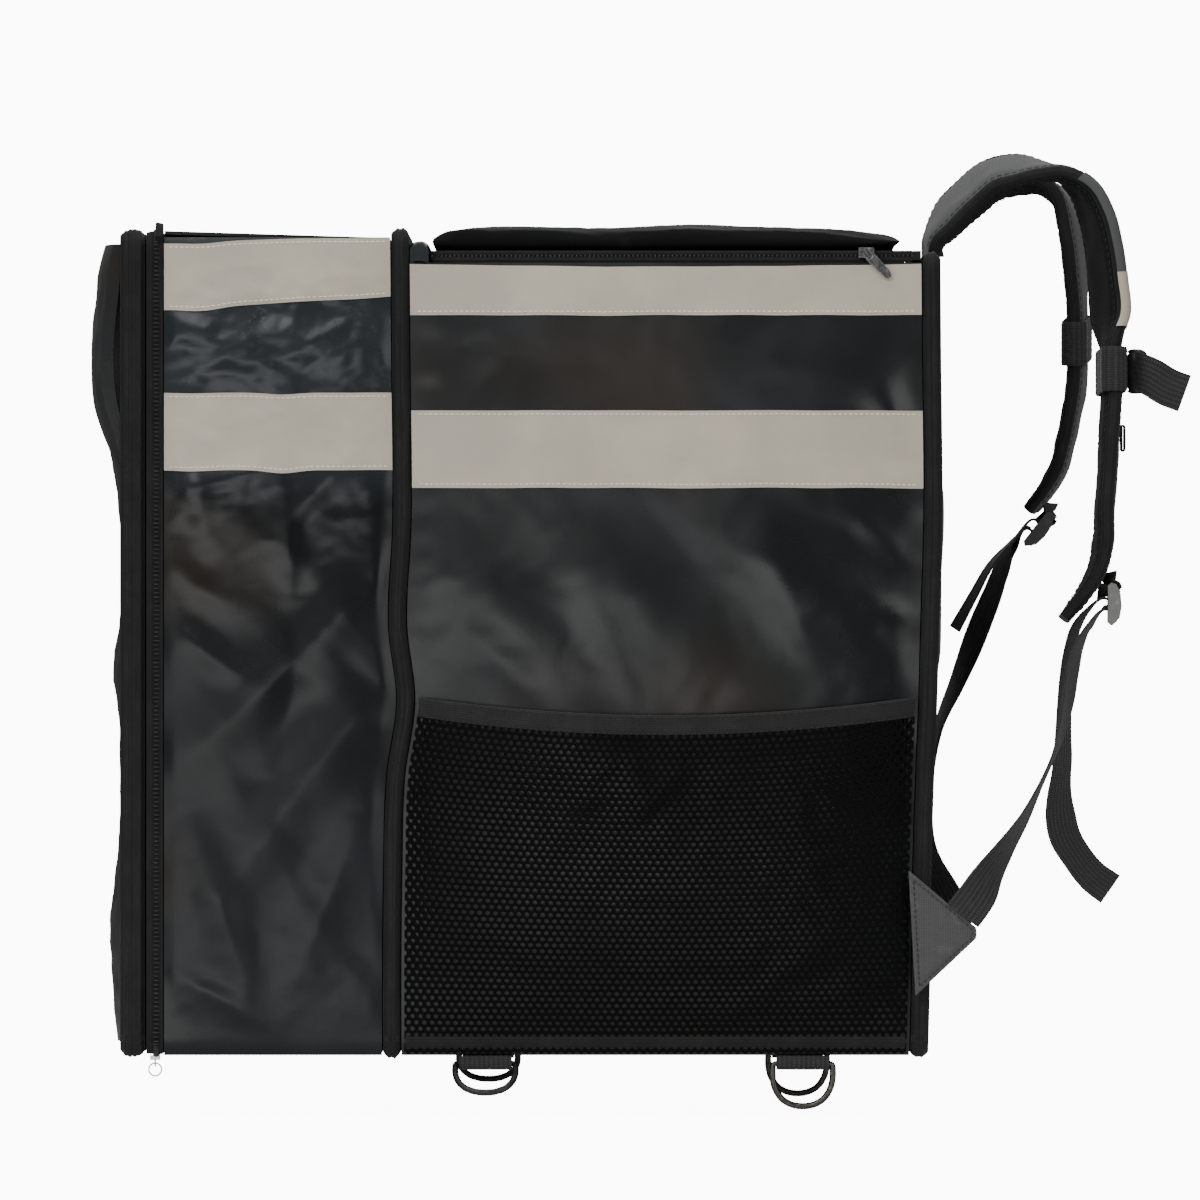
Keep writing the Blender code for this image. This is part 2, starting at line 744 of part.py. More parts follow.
def build_base_and_top():
    """The level panels: the base under each section, and the top over the expansion."""
    low = LOW_Z
    flat_slab(
        "main_base",
        main_front_x(low) + SEAM_GAP,
        main_back_x(low) - SEAM_GAP,
        INNER_Y,
        lambda share: low + MAIN_WALL,
        MAIN_WALL,
        "tarpaulin",
    )
    flat_slab(
        "expansion_base",
        EXPANSION_FRONT_X + SEAM_GAP,
        expansion_back_x(low) - SEAM_GAP,
        INNER_Y,
        lambda share: low + THIN_WALL,
        THIN_WALL,
        "tarpaulin",
    )
    sag = EXPANSION_HIGH_TAPE[0]
    half_width = EXPANSION_CLOTH.out(0, EXPANSION_CLOTH.high) - THIN_WALL - SEAM_GAP
    flat_slab(
        "expansion_top",
        EXPANSION_FRONT_X + SEAM_GAP,
        expansion_back_x(TOP_Z) - SEAM_GAP,
        half_width - TUCK,
        lambda share: TOP_Z - sag * share,
        THIN_WALL,
        "tarpaulin",
        columns=6,
    )


LID_LOW_Z = TOP_Z - LID_THICKNESS
MAIN_TOP_Z = TOP_Z - MAIN_TOP


def lid_ends():
    return main_front_x(TOP_Z) + LID_FRONT_INSET, main_back_x(TOP_Z) - LID_BACK_INSET


def build_lid():
    """The padded lid, wavy on top and rounded to its rim."""
    front, back = lid_ends()
    half_width = SIDE_Y - LID_SIDE_INSET
    sideways = (0.0, 0.012, 0.05, 0.25, 0.5, 0.75, 0.95, 0.988, 1.0)
    marks = [row.along for row in LID_ROWS]
    along = rows_through(marks, 0.16)
    upper, lower = [], []
    for share in sideways:
        y = between(-half_width, half_width, share)
        reach = min(share, 1 - share) * 2 * half_width
        round_off = max(0.0, 1 - reach / (2 * LID_ROUND)) ** 2
        row = []
        for step in along:
            rise = LID_TOP_RISE * read_table(LID_ROWS, "along", "rise", step)
            row.append((between(front, back, step), y, TOP_Z + rise - LID_ROUND * round_off))
        upper.append(row)
        lower.append([(x, y_line, LID_LOW_Z) for x, y_line, z in row])
    slab("lid", upper, lower, "edging")


def build_lid_surround():
    """The zip round three sides of the lid, the rim before it and the strip it hangs on."""
    front, back = lid_ends()
    half_width = SIDE_Y - LID_SIDE_INSET
    low, high = MAIN_TOP_Z + LIE_GAP, LID_LOW_Z - LIE_GAP
    inner_front = front + LID_ZIP_WIDTH
    inner_y = half_width - LID_ZIP_WIDTH
    corners = (
        ((back, -half_width), (back, -inner_y)),
        ((front, -half_width), (inner_front, -inner_y)),
        ((front, half_width), (inner_front, inner_y)),
        ((back, half_width), (back, inner_y)),
    )
    sections = [
        [(*out, low), (*out, high), (*inside, high), (*inside, low)] for out, inside in corners
    ]
    loft("lid_zip", sections, "zip_cloth")
    rim_front = main_front_x(TOP_Z) + SEAM_GAP
    box_solid(
        "top_rim",
        (rim_front, -half_width, low),
        (rim_front + TOP_RIM_DEPTH, half_width, low + TOP_RIM_HEIGHT),
        "tarpaulin",
    )
    box_solid(
        "lid_back_strip",
        (back + LIE_GAP, -half_width, low),
        (main_back_x(TOP_Z) - LIE_GAP, half_width, LID_LOW_Z),
        "edging",
    )


def pocket_top(across):
    """The sagging line along the pocket's upper edge."""
    return LOW_Z + POCKET_HEIGHT - POCKET_SAG * 4 * across * (1 - across)


def pocket_lift(across, z):
    """The pocket's distance from the side wall."""
    sides = min(1.0, across / POCKET_SIDE_SHARE, (1 - across) / POCKET_SIDE_SHARE)
    upward = min(1.0, (z - LOW_Z) / (POCKET_HEIGHT / 3))
    return 2 * LIE_GAP + POCKET_ROOM * math.sin(sides * math.pi / 2) * upward


def build_pockets(columns):
    """A net pocket with an elastic band on each side of the main section."""
    inset = (POCKET_SEAM_SHARE,) + columns[1:-1] + (1 - POCKET_SEAM_SHARE,)
    starts = [LOW_Z, LOW_Z + EDGE_ROUND]
    for label, side in SIDES.items():
        grids = {"net": ([], []), "band": ([], [])}
        shares = spread(0.0, 1.0, 4)
        for row in range(len(starts) + len(shares) - 1):
            lines = ([], [])
            for across in inset:
                z = starts[row] if row < 2 else between(starts[1], pocket_top(across), shares[row - 1])
                lift = pocket_lift(across, z)
                lines[0].append(MAIN_CLOTH.point(side, across, z, lift + NET_WALL))
                lines[1].append(MAIN_CLOTH.point(side, across, z, lift))
            for grid, line in zip(grids["net"], lines):
                grid.append(line)
        for rise in (LIE_GAP, BAND_HEIGHT):
            lines = ([], [])
            for across in inset:
                z = pocket_top(across) + rise
                lift = pocket_lift(across, z)
                lines[0].append(MAIN_CLOTH.point(side, across, z, lift + BAND_WALL))
                lines[1].append(MAIN_CLOTH.point(side, across, z, lift))
            for grid, line in zip(grids["band"], lines):
                grid.append(line)
        slab(f"pocket_net_{label}", *grids["net"], "net")
        slab(f"pocket_band_{label}", *grids["band"], "edging")


def path_frames(points):
    """Each point with its direction, from the points before and after it."""
    frames = []
    for index, point in enumerate(points):
        before = points[max(0, index - 1)]
        after = points[min(len(points) - 1, index + 1)]
        frames.append((Vector(point), (Vector(after) - Vector(before)).normalized()))
    return frames


def leaning_width(direction, turn):
    """The direction of a strap's width: across the body, leaned by the turn in degrees."""
    level = Vector((0, 1, 0))
    level = (level - direction * level.dot(direction)).normalized()
    normal = direction.cross(level)
    lean = math.radians(turn)
    return level * math.cos(lean) + normal * math.sin(lean)


def flat_section(centre, direction, width_line, width, wall):
    normal = direction.cross(width_line).normalized() * (wall / 2)
    half = width_line * (width / 2)
    return [centre - half - normal, centre + half - normal, centre + half + normal, centre - half + normal]


def padded_section(centre, direction, width_line, width, wall):
    """A strap's padded cross-section, thin at its two edges."""
    normal = direction.cross(width_line).normalized()
    outline = ((-1.0, -0.22), (-0.84, -0.5), (0.84, -0.5), (1.0, -0.22))
    outline += tuple((-across, -rise) for across, rise in outline)
    return [centre + width_line * (a * width / 2) + normal * (r * wall) for a, r in outline]


STRAP_START = Vector((BACK_X - STRAP_ROOT_INSET, 0.0, BACK_EDGE_TOP_Z + LIE_GAP))


def strap_place(side, reach, drop, spread_share=1.0):
    """A place on a shoulder strap's run, from shares of its reach and drop."""
    y = side * between(STRAP_ROOT_SPREAD, STRAP_END_SPREAD, spread_share)
    return Vector((STRAP_START.x + reach * STRAP_REACH, y, STRAP_START.z - drop * STRAP_DROP))


def strap_stations(side, table):
    """The strap's centre line with its direction and the line of its width."""
    last = len(table) - 1
    points = [strap_place(side, row.reach, row.drop, i / last) for i, row in enumerate(table)]
    frames = path_frames(points)
    frames[0] = (frames[0][0], Vector((0, 0, 1)))
    return [
        (centre, direction, leaning_width(direction, side * row.turn))
        for (centre, direction), row in zip(frames, table)
    ]


def strap_wall(girth):
    """A strap's thickness where its width has that share: it thins where it narrows."""
    return STRAP_WALL * between(STRAP_END_WALL, 1.0, girth)


def build_strap(label, side, table):
    sections = [
        padded_section(*station, STRAP_WIDTH * row.girth, strap_wall(row.girth))
        for station, row in zip(strap_stations(side, table), table)
    ]
    loft(f"shoulder_strap_{label}", sections, "strap_cloth")


def build_sleeve(name, side, table, index, share):
    """A webbing sleeve round a strap, between two rows of its run."""
    stations = strap_stations(side, table)
    centre = stations[index][0].lerp(stations[index + 1][0], share)
    direction = (stations[index + 1][0] - stations[index][0]).normalized()
    turn = between(table[index].turn, table[index + 1].turn, share)
    width_line = leaning_width(direction, side * turn)
    rings = []
    for grow in (SLEEVE_GAP, SLEEVE_GAP + WEBBING_WALL):
        outline = padded_section(
            Vector(), direction, width_line, STRAP_WIDTH + 2 * grow, STRAP_WALL + 2 * grow
        )
        rings.append(outline)
    half = direction * (SLEEVE_HEIGHT / 2)
    sections = [
        [centre + near - half, centre + near + half, centre + out + half, centre + out - half]
        for near, out in zip(*rings)
    ]
    loft(name, sections, "webbing", looped=True)
    return centre


# The locks that join each strap to its webbing: reach and drop as on the strap, tilt in degrees.
LockPlace = namedtuple("LockPlace", "reach drop tilt")
LOCK_PLACES = {"near": LockPlace(1.016, 0.955, 0.0), "far": LockPlace(0.640, 0.752, -38.0)}

# Where each lock's loop has its two ends sewn, counted in rows up from the strap's end.
LoopSeams = namedtuple("LoopSeams", "first second")
LOOP_SEAMS = {"near": LoopSeams(2.10, 1.40), "far": LoopSeams(0.80, 0.10)}

# The webbing's way in and out of a lock, as shares of LOCK_DEPTH and of its bend's radius.
LOCK_WAY_IN = ((-0.75, -1.15), (-0.30, -1.0))
LOCK_WAY_OUT = ((-0.30, 1.0), (-0.75, 1.3))


class Lock:
    """A ladder lock: two side plates and three bars, seen edge-on from the side."""

    def __init__(self, side, place):
        self.centre = strap_place(side, place.reach, place.drop)
        self.tilt = math.radians(place.tilt)
        self.spacing = LOCK_HEIGHT * LOCK_BAR_SPACING
        self.bend = LOCK_BAR / 2 + LOCK_GAP + WEBBING_WALL / 2

    def at(self, out, rise, sideways=0.0):
        """A place in the lock: out to the wearer, up along the plates and across."""
        x = out * math.cos(self.tilt) - rise * math.sin(self.tilt)
        z = out * math.sin(self.tilt) + rise * math.cos(self.tilt)
        return self.centre + Vector((x, sideways, z))

    def plate(self, low, high):
        outline = (
            (-0.5, -0.42), (-0.2, -0.5), (0.35, -0.32), (0.5, -0.05),
            (0.42, 0.25), (0.1, 0.47), (-0.25, 0.5), (-0.5, 0.44),
        )
        sections = [
            [self.at(a * LOCK_DEPTH, r * LOCK_HEIGHT, y) for a, r in outline] for y in (low, high)
        ]
        return loft("plate", sections, "grey_plastic")

    def bar(self, rise):
        reach = LOCK_WIDTH / 2 - LOCK_WALL / 2
        ring = [math.radians(angle) for angle in range(30, 390, 60)]
        sections = [
            [
                self.at(LOCK_BAR / 2 * math.cos(a), rise + LOCK_BAR / 2 * math.sin(a), y)
                for a in ring
            ]
            for y in (-reach, reach)
        ]
        return loft("bar", sections, "grey_plastic")

    def build(self, name):
        outer = LOCK_WIDTH / 2
        pieces = [self.plate(-outer, -outer + LOCK_WALL), self.plate(outer - LOCK_WALL, outer)]
        pieces += [self.bar(rise) for rise in (-self.spacing, 0.0, self.spacing)]
        fused(name, "grey_plastic", pieces)

    def turn_points(self):
        """The webbing's way through the lock: in below the middle bar, round it and out above."""
        points = [self.at(LOCK_DEPTH * out, self.bend * rise) for out, rise in LOCK_WAY_IN]
        for angle in range(-90, 91, 45):
            a = math.radians(angle)
            points.append(self.at(self.bend * math.cos(a), self.bend * math.sin(a)))
        points += [self.at(LOCK_DEPTH * out, self.bend * rise) for out, rise in LOCK_WAY_OUT]
        return points

    def loop_points(self):
        """The strap's loop round the top bar."""
        angles = (math.radians(angle) for angle in range(120, -121, -40))
        return [
            self.at(self.bend * math.cos(a), self.spacing + self.bend * math.sin(a)) for a in angles
        ]


def strap_face(side, table, place):
    """A point just off a strap's outer face, at a place counted in rows of its run."""
    index = int(place)
    stations = strap_stations(side, table)
    points, outs, walls = [], [], []
    for step in (index, index + 1):
        centre, direction, width_line = stations[step]
        points.append(centre)
        outs.append(direction.cross(width_line).normalized())
        walls.append(strap_wall(table[step].girth))
    share = place - index
    lift = between(walls[0], walls[1], share) / 2 + 2 * LIE_GAP + WEBBING_WALL
    return points[0].lerp(points[1], share) + outs[0].lerp(outs[1], share).normalized() * lift


def build_lock_loop(label, side, table, lock):
    """A folded webbing, sewn to the strap's outer face, that holds the ladder lock."""
    count = len(table) - 1
    start = strap_face(side, table, count - LOOP_SEAMS[label].first)
    end = strap_face(side, table, count - LOOP_SEAMS[label].second)
    start.y = lock.centre.y
    end.y = lock.centre.y
    points = [start] + lock.loop_points() + [end]
    sections = [
        flat_section(centre, direction, leaning_width(direction, 0.0), WEBBING_WIDTH, WEBBING_WALL)
        for centre, direction in path_frames(points)
    ]
    loft(f"lock_loop_{label}", sections, "webbing")


def anchor_corner(side):
    """The anchor's tip towards the wearer."""
    z = LOW_Z + ANCHOR_RISE + ANCHOR_HEIGHT / 2
    x = BACK_X - ANCHOR_OVERLAP + ANCHOR_REACH
    return Vector((x, side * anchor_seat(), z))


def anchor_seat():
    """How far out the anchor's inner face lies: clear of the pocket, the wall and the edging."""
    back = 1 - (ANCHOR_OVERLAP - BACK_EDGE_DEPTH) / MAIN_DEPTH
    heights = spread(LOW_Z + ANCHOR_RISE, LOW_Z + ANCHOR_RISE + ANCHOR_HEIGHT, 8)
    tops = [
        MAIN_CLOTH.out(across, z) + pocket_lift(across, z) + NET_WALL
        for across in spread(back - 0.02, 1.0, 4)
        for z in heights
    ]
    return max(tops + [SIDE_Y]) + LIE_GAP


def build_anchor(label, side):
    low_z = LOW_Z + ANCHOR_RISE
    tip = anchor_corner(side)
    root = tip.x - ANCHOR_REACH
    outline = (
        (root + 0.10 * ANCHOR_REACH, low_z),
        (tip.x, tip.z - 0.04 * ANCHOR_HEIGHT),
        (tip.x, tip.z + 0.04 * ANCHOR_HEIGHT),
        (root, low_z + ANCHOR_HEIGHT),
    )
    seat = anchor_seat()
    sections = [[(x, side * y, z) for x, z in outline] for y in (seat, seat + ANCHOR_WALL)]
    loft(f"strap_anchor_{label}", sections, "anchor_cloth")


def build_webbing(label, side, strap_table, web_table, tail_table):
    """One webbing from the anchor up through the lock, and its free tail."""
    lock = Lock(side, LOCK_PLACES[label])
    lock.build(f"ladder_lock_{label}")
    build_lock_loop(label, side, strap_table, lock)
    tip = anchor_corner(side)
    tip.y += side * (ANCHOR_WALL + LIE_GAP + WEBBING_WALL / 2)
    inside = lock.turn_points()
    way = inside[0] - tip
    points, turns = [], []
    for row in web_table:
        points.append(tip + Vector((way.x * row.reach, way.y * row.side, way.z * row.rise)))
        turns.append(row.turn)
    points += inside
    turns += [0.0] * len(inside)
    for row in tail_table:
        away = Vector((TAIL_REACH * row.reach, TAIL_REACH * row.side, -TAIL_DROP * row.drop))
        points.append(lock.centre + away)
        turns.append(-row.turn)
    sections = [
        flat_section(centre, direction, leaning_width(direction, side * turn), WEBBING_WIDTH, WEBBING_WALL)
        for (centre, direction), turn in zip(path_frames(points), turns)
    ]
    loft(f"webbing_{label}", sections, "webbing")


def build_chest_strap():
    """The sleeve, slider and short tail on the near strap, its keeper, and the far strap's sleeve."""
    side = SIDES["near"]
    centre = build_sleeve("chest_sleeve_near", side, NEAR_STRAP, 13, 0.47)
    build_sleeve("chest_sleeve_far", SIDES["far"], FAR_STRAP, 11, 0.9)
    lean = CHEST_BUCKLE_WIDTH / 2 * math.tan(math.radians(NEAR_STRAP[13].turn))
    inner_x = centre.x + STRAP_WALL / 2 + SLEEVE_GAP + WEBBING_WALL + lean + LIE_GAP
    low = Vector((inner_x, centre.y - CHEST_BUCKLE_WIDTH / 2, centre.z - CHEST_BUCKLE_HEIGHT / 2))
    high = low + Vector((CHEST_BUCKLE_DEPTH, CHEST_BUCKLE_WIDTH, CHEST_BUCKLE_HEIGHT))
    frame_loop("chest_slider_near", low, high, CHEST_BUCKLE_WALL, "black_plastic")
    middle = (low.x + high.x) / 2
    mouth = low.y
    reach = CHEST_TAIL_REACH
    points = [
        Vector((middle - 0.05 * reach, centre.y, centre.z)),
        Vector((middle - 0.04 * reach, mouth, centre.z)),
        Vector((middle + 0.06 * reach, mouth - 0.16 * reach, centre.z - 0.03 * reach)),
        Vector((middle + 0.26 * reach, mouth - 0.24 * reach, centre.z - 0.12 * reach)),
        Vector((middle + 0.60 * reach, mouth - 0.25 * reach, centre.z - 0.32 * reach)),
        Vector((middle + 0.92 * reach, mouth - 0.25 * reach, centre.z - 0.44 * reach)),
    ]
    sections = []
    for point, direction in path_frames(points):
        upright = Vector((0, 0, 1))
        width_line = (upright - direction * upright.dot(direction)).normalized()
        sections.append(flat_section(point, direction, width_line, WEBBING_WIDTH, WEBBING_WALL))
    loft("chest_tail_near", sections, "webbing")
    stations = strap_stations(side, NEAR_STRAP)
    rest = stations[15][0].lerp(stations[16][0], 0.2)
    lean = KEEPER_WIDTH / 2 * math.tan(math.radians(NEAR_STRAP[15].turn))
    start = rest + Vector((STRAP_WALL / 2 + SLEEVE_GAP + lean, -KEEPER_WIDTH / 2, -KEEPER_HEIGHT / 2))
    end = start + Vector((KEEPER_DEPTH, KEEPER_WIDTH, KEEPER_HEIGHT))
    frame_loop("strap_keeper_near", start, end, KEEPER_WALL, "webbing")


def frame_loop(name, low, high, wall, finish):
    """A rectangular loop open along Y."""
    corners = ((low.x, low.z), (high.x, low.z), (high.x, high.z), (low.x, high.z))
    inner = (
        (low.x + wall, low.z + wall),
        (high.x - wall, low.z + wall),
        (high.x - wall, high.z - wall),
        (low.x + wall, high.z - wall),
    )
    sections = [
        [(x, low.y, z), (x, high.y, z), (a, high.y, b), (a, low.y, b)]
        for (x, z), (a, b) in zip(corners, inner)
    ]
    loft(name, sections, finish, looped=True)


# Half of a D-ring's centre line: across and drop are shares of its half width and of its drop.
RingRow = namedtuple("RingRow", "across drop")
RING_ROWS = (
    RingRow(0.90, 0.000),
    RingRow(0.985, 0.030),
    RingRow(1.00, 0.130),
    RingRow(1.00, 0.380),
    RingRow(0.90, 0.640),
    RingRow(0.66, 0.860),
    RingRow(0.34, 0.970),
)


def tube_sections(points, normal, radius, sides=6, looped=True):
    """Round sections along a path that lies in the plane across the normal."""
    sections = []
    count = len(points)
    for index, point in enumerate(points):
        before = points[index - 1] if looped or index else points[0]
        after = points[(index + 1) % count] if looped or index < count - 1 else points[-1]
        direction = (after - before).normalized()
        across = direction.cross(normal).normalized()
        sections.append(
            [
                point + (across * math.cos(a) + normal * math.sin(a)) * radius
                for a in (2 * math.pi * step / sides for step in range(sides))
            ]
        )
    return sections


def build_ring(label, side, place):
    """A webbing tab under the side wall and the D-ring that swings in it."""
    x = between(main_front_x(LOW_Z), main_back_x(LOW_Z), RING_PLACES[place])
    bar = Vector((x, side * (SIDE_Y - RING_TAB_INSET), LOW_Z - RING_TAB_DROP))
    near = RING_WIRE / 2 + RING_TAB_GAP
    outline = []
    for radius, angles in ((near + WEBBING_WALL, range(180, 361, 30)), (near, range(360, 179, -30))):
        arc = [(radius * math.cos(math.radians(a)), radius * math.sin(math.radians(a))) for a in angles]
        rise = RING_TAB_DROP - LIE_GAP
        if radius > near:
            outline += [(-radius, rise)] + arc + [(radius, rise)]
        else:
            outline += [(radius, rise)] + arc + [(-radius, rise)]
    ends = (x - RING_TAB_WIDTH / 2, x + RING_TAB_WIDTH / 2)
    sections = [[(end, bar.y + y, bar.z + z) for y, z in outline] for end in ends]
    loft(f"ring_tab_{place}_{label}", sections, "webbing")
    half = RING_WIDTH / 2 - RING_WIRE / 2
    drop = RING_DROP - RING_WIRE
    rows = [(row.across, row.drop) for row in RING_ROWS]
    path = rows + [(0.0, 1.0)] + [(-across, fall) for across, fall in rows[::-1]]
    swing = math.radians(RING_SWING[place])
    points = [
        bar + Vector((a * half, side * d * drop * math.sin(swing), -d * drop * math.cos(swing)))
        for a, d in path
    ]
    normal = Vector((0, side * math.cos(swing), math.sin(swing)))
    pivot = add_pivot(f"ring_axis_{place}_{label}", bar, (1, 0, 0))
    name = f"d_ring_{place}_{label}"
    loft(name, tube_sections(points, normal, RING_WIRE / 2), "dark_metal", looped=True, parent=pivot)


# Where the lid's zip slider sits, as a share of the lid's length, and how its pull hangs.
LID_SLIDER_PLACE = 0.905
LID_PULL_ANGLE = 46.0


def build_lid_slider():
    """The slider on the lid's zip, with a bridge that its pull swings under."""
    front, back = lid_ends()
    side = SIDES["near"]
    face = side * (SIDE_Y - LID_SIDE_INSET + LIE_GAP)
    centre = Vector((between(front, back, LID_SLIDER_PLACE), face, LID_LOW_Z - SLIDER_WIDTH * 0.25))
    low = centre + Vector((-SLIDER_LENGTH / 2, side * SLIDER_WALL, -SLIDER_WIDTH / 2))
    high = centre + Vector((SLIDER_LENGTH / 2, 0.0, SLIDER_WIDTH / 2))
    body = box_solid("lid_slider", low, high, "dark_metal")
    angle = math.radians(LID_PULL_ANGLE)
    along = Vector((math.cos(angle), 0, -math.sin(angle)))
    axis = Vector((math.sin(angle), 0, math.cos(angle)))
    out = Vector((0, side, 0))
    base = centre + out * SLIDER_WALL
    wire = BRIDGE_WIRE / 2
    post = wire + PULL_WALL + LIE_GAP
    height = PULL_WALL * 2 + 3 * LIE_GAP + wire
    arch = [(-post, -wire), (-post, height * 0.8), (-post * 0.7, height), (post * 0.7, height)]
    arch += [(post, height * 0.8), (post, -wire)]
    points = [base + along * p + out * o for p, o in arch]
    bridge = loft("bridge", tube_sections(points, axis, wire, 6, looped=False), "dark_metal")
    fused("lid_slider", "dark_metal", [body, bridge])
    hinge = base + out * (PULL_WALL + LIE_GAP)
    pivot = add_pivot("lid_pull_axis", hinge, axis)
    half = PULL_WALL / 2
    eye_end = PULL_EYE + half
    outer = (
        (-half, 0.0), (-half, 0.36), (PULL_EYE, 0.5), (PULL_LENGTH * 0.9, 0.42), (PULL_LENGTH, 0.2),
        (PULL_LENGTH, -0.2), (PULL_LENGTH * 0.9, -0.42), (PULL_EYE, -0.5), (-half, -0.36),
    )
    inner = (
        (half, 0.0), (half, 0.24), (eye_end * 0.6, 0.28), (eye_end * 0.95, 0.22), (eye_end, 0.1),
        (eye_end, -0.1), (eye_end * 0.95, -0.22), (eye_end * 0.6, -0.28), (half, -0.24),
    )
    sections = []
    for (p, q), (a, b) in zip(outer, inner):
        rim = hinge + along * p + axis * (q * PULL_WIDTH)
        eye = hinge + along * a + axis * (b * PULL_WIDTH)
        sections.append([rim - out * half, rim + out * half, eye + out * half, eye - out * half])
    loft("lid_pull", sections, "dark_metal", looped=True, parent=pivot)


def circle_points(centre, first, second, radius, count):
    angles = (2 * math.pi * step / count for step in range(count))
    return [centre + (first * math.cos(a) + second * math.sin(a)) * radius for a in angles]


def build_front_pull():
    """The front zip's slider under the bag and the ring that hangs in its eye."""
    x = (ZIP_FRONT_X + EXPANSION_FRONT_X) / 2
    y = -(SIDE_Y - EDGE_ROUND - SLIDER_LENGTH)
    top = LOW_Z - LIE_GAP
    low = Vector((x - SLIDER_WIDTH / 2, y - SLIDER_LENGTH / 2, top - SLIDER_WALL))
    high = Vector((x + SLIDER_WIDTH / 2, y + SLIDER_LENGTH / 2, top))
    body = box_solid("front_slider", low, high, "bright_metal")
    across, up, forward = Vector((0, 1, 0)), Vector((0, 0, 1)), Vector((1, 0, 0))
    wire = RING_PULL_WIRE / 2
    eye_radius = 3.3 * wire
    eye = Vector((x, y, top - SLIDER_WALL - eye_radius))
    lug = tube_sections(circle_points(eye, across, up, eye_radius, 10), forward, wire)
    fused("front_slider", "bright_metal", [body, loft("lug", lug, "bright_metal", looped=True)])
    pivot = add_pivot("front_pull_axis", eye, (1, 0, 0))
    centre = eye - up * RING_PULL_RADIUS
    ring = tube_sections(circle_points(centre, forward, up, RING_PULL_RADIUS, 16), across, wire)
    loft("front_ring_pull", ring, "bright_metal", looped=True, parent=pivot)


MAIN_COLUMNS = (0.0, 0.04, 0.12, 0.24, 0.37, 0.5, 0.63, 0.76, 0.88, 0.96, 1.0)
EXPANSION_COLUMNS = (0.0, 0.08, 0.2, 0.33, 0.46, 0.59, 0.72, 0.86, 1.0)


def build():
    clear_scene()
    main_tapes = {"high": MAIN_HIGH_TAPE, "low": MAIN_LOW_TAPE}
    expansion_tapes = {"high": EXPANSION_HIGH_TAPE, "low": EXPANSION_LOW_TAPE}
    build_side(MAIN_CLOTH, "main", MAIN_WALL, main_tapes, MAIN_COLUMNS)
    build_side(EXPANSION_CLOTH, "expansion", THIN_WALL, expansion_tapes, EXPANSION_COLUMNS)
    build_edgings()
    build_door()
    build_back()
    build_base_and_top()
    build_lid()
    build_lid_surround()
    build_pockets(MAIN_COLUMNS)
    build_strap("near", SIDES["near"], NEAR_STRAP)
    build_strap("far", SIDES["far"], FAR_STRAP)
    for label, side in SIDES.items():
        build_anchor(label, side)
        for place in RING_PLACES:
            build_ring(label, side, place)
    build_webbing("near", SIDES["near"], NEAR_STRAP, NEAR_WEB, NEAR_TAIL)
    build_webbing("far", SIDES["far"], FAR_STRAP, FAR_WEB, FAR_TAIL)
    build_chest_strap()
    build_lid_slider()
    build_front_pull()


build()
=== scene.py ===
"""An insulated delivery backpack: its cloth, nets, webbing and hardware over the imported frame.

Lengths are in metres. +X points to the wearer, +Z up, and the shown side faces -Y.
"""

import logging
import math
from collections.abc import Callable, Sequence
from dataclasses import dataclass
from enum import Enum

import bmesh
import bpy
import numpy as np
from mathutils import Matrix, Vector


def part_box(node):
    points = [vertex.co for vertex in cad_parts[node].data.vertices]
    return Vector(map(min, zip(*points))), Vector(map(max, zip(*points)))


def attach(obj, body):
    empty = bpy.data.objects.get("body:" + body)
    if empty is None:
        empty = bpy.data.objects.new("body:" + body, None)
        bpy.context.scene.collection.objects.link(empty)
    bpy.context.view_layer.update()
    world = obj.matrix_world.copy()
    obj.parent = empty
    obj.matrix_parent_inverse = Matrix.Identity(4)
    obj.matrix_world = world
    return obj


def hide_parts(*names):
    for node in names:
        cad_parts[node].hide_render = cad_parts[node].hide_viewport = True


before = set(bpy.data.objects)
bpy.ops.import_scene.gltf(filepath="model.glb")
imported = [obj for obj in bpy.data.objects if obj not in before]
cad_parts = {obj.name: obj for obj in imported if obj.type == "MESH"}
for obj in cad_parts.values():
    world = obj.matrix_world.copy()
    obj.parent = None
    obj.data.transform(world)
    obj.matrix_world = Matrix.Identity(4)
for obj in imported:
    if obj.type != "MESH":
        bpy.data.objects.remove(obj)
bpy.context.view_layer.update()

LOG = logging.getLogger("backpack")
BODY = "bag"
Grid = np.ndarray
Colour = tuple[float, float, float]

# The body's main sizes and seams, as in the frame.
SIDE_Y = 0.215
TOP_Z = 0.266
LOW_Z = -0.266
HEIGHT = TOP_Z - LOW_Z
SEAM_DRIFT = 0.008
SEAM_GAP = 0.0006
LIE_GAP = 0.0003
EDGE_ROUND = 0.009
EDGE_WALL = 0.008
MAIN_FRONT_X = -0.3445
MIDDLE_EDGE = 0.012
BACK_X = -0.002
BACK_EDGE = 0.0125
BACK_TOP_Z = 0.251
EXPANSION_FRONT_X = -0.5035
ZIP_FRONT_X = -0.515
FRONT_X = -0.532
DOOR_BULGE = 0.0187
WEBBING_WIDTH = 0.025
WEBBING_WALL = 0.0015
WEBBING_SHOWN = 0.0014
RING_TAB_WIDTH = 0.034
THINNEST_FOAM = 0.004
FAR_SHIFT = 40.0
PAD_SEAM_Y = 0.05
EDGING_PITCH = 0.0040
CORNER_STEPS = 8
SMALL_BEVEL = 0.0003
ANCHOR_ROW = 0.0032
KEEPER_STEP = 0.001
SLEEVE_STEP = 0.0018
LOCK_BAR = 0.0035
LOCK_DEPTH = 0.009
LOCK_HEIGHT = 0.028
LOOP_SHARE = 0.37
LOCK_BEND = LOCK_BAR / 2 + 0.0004 + WEBBING_WALL / 2

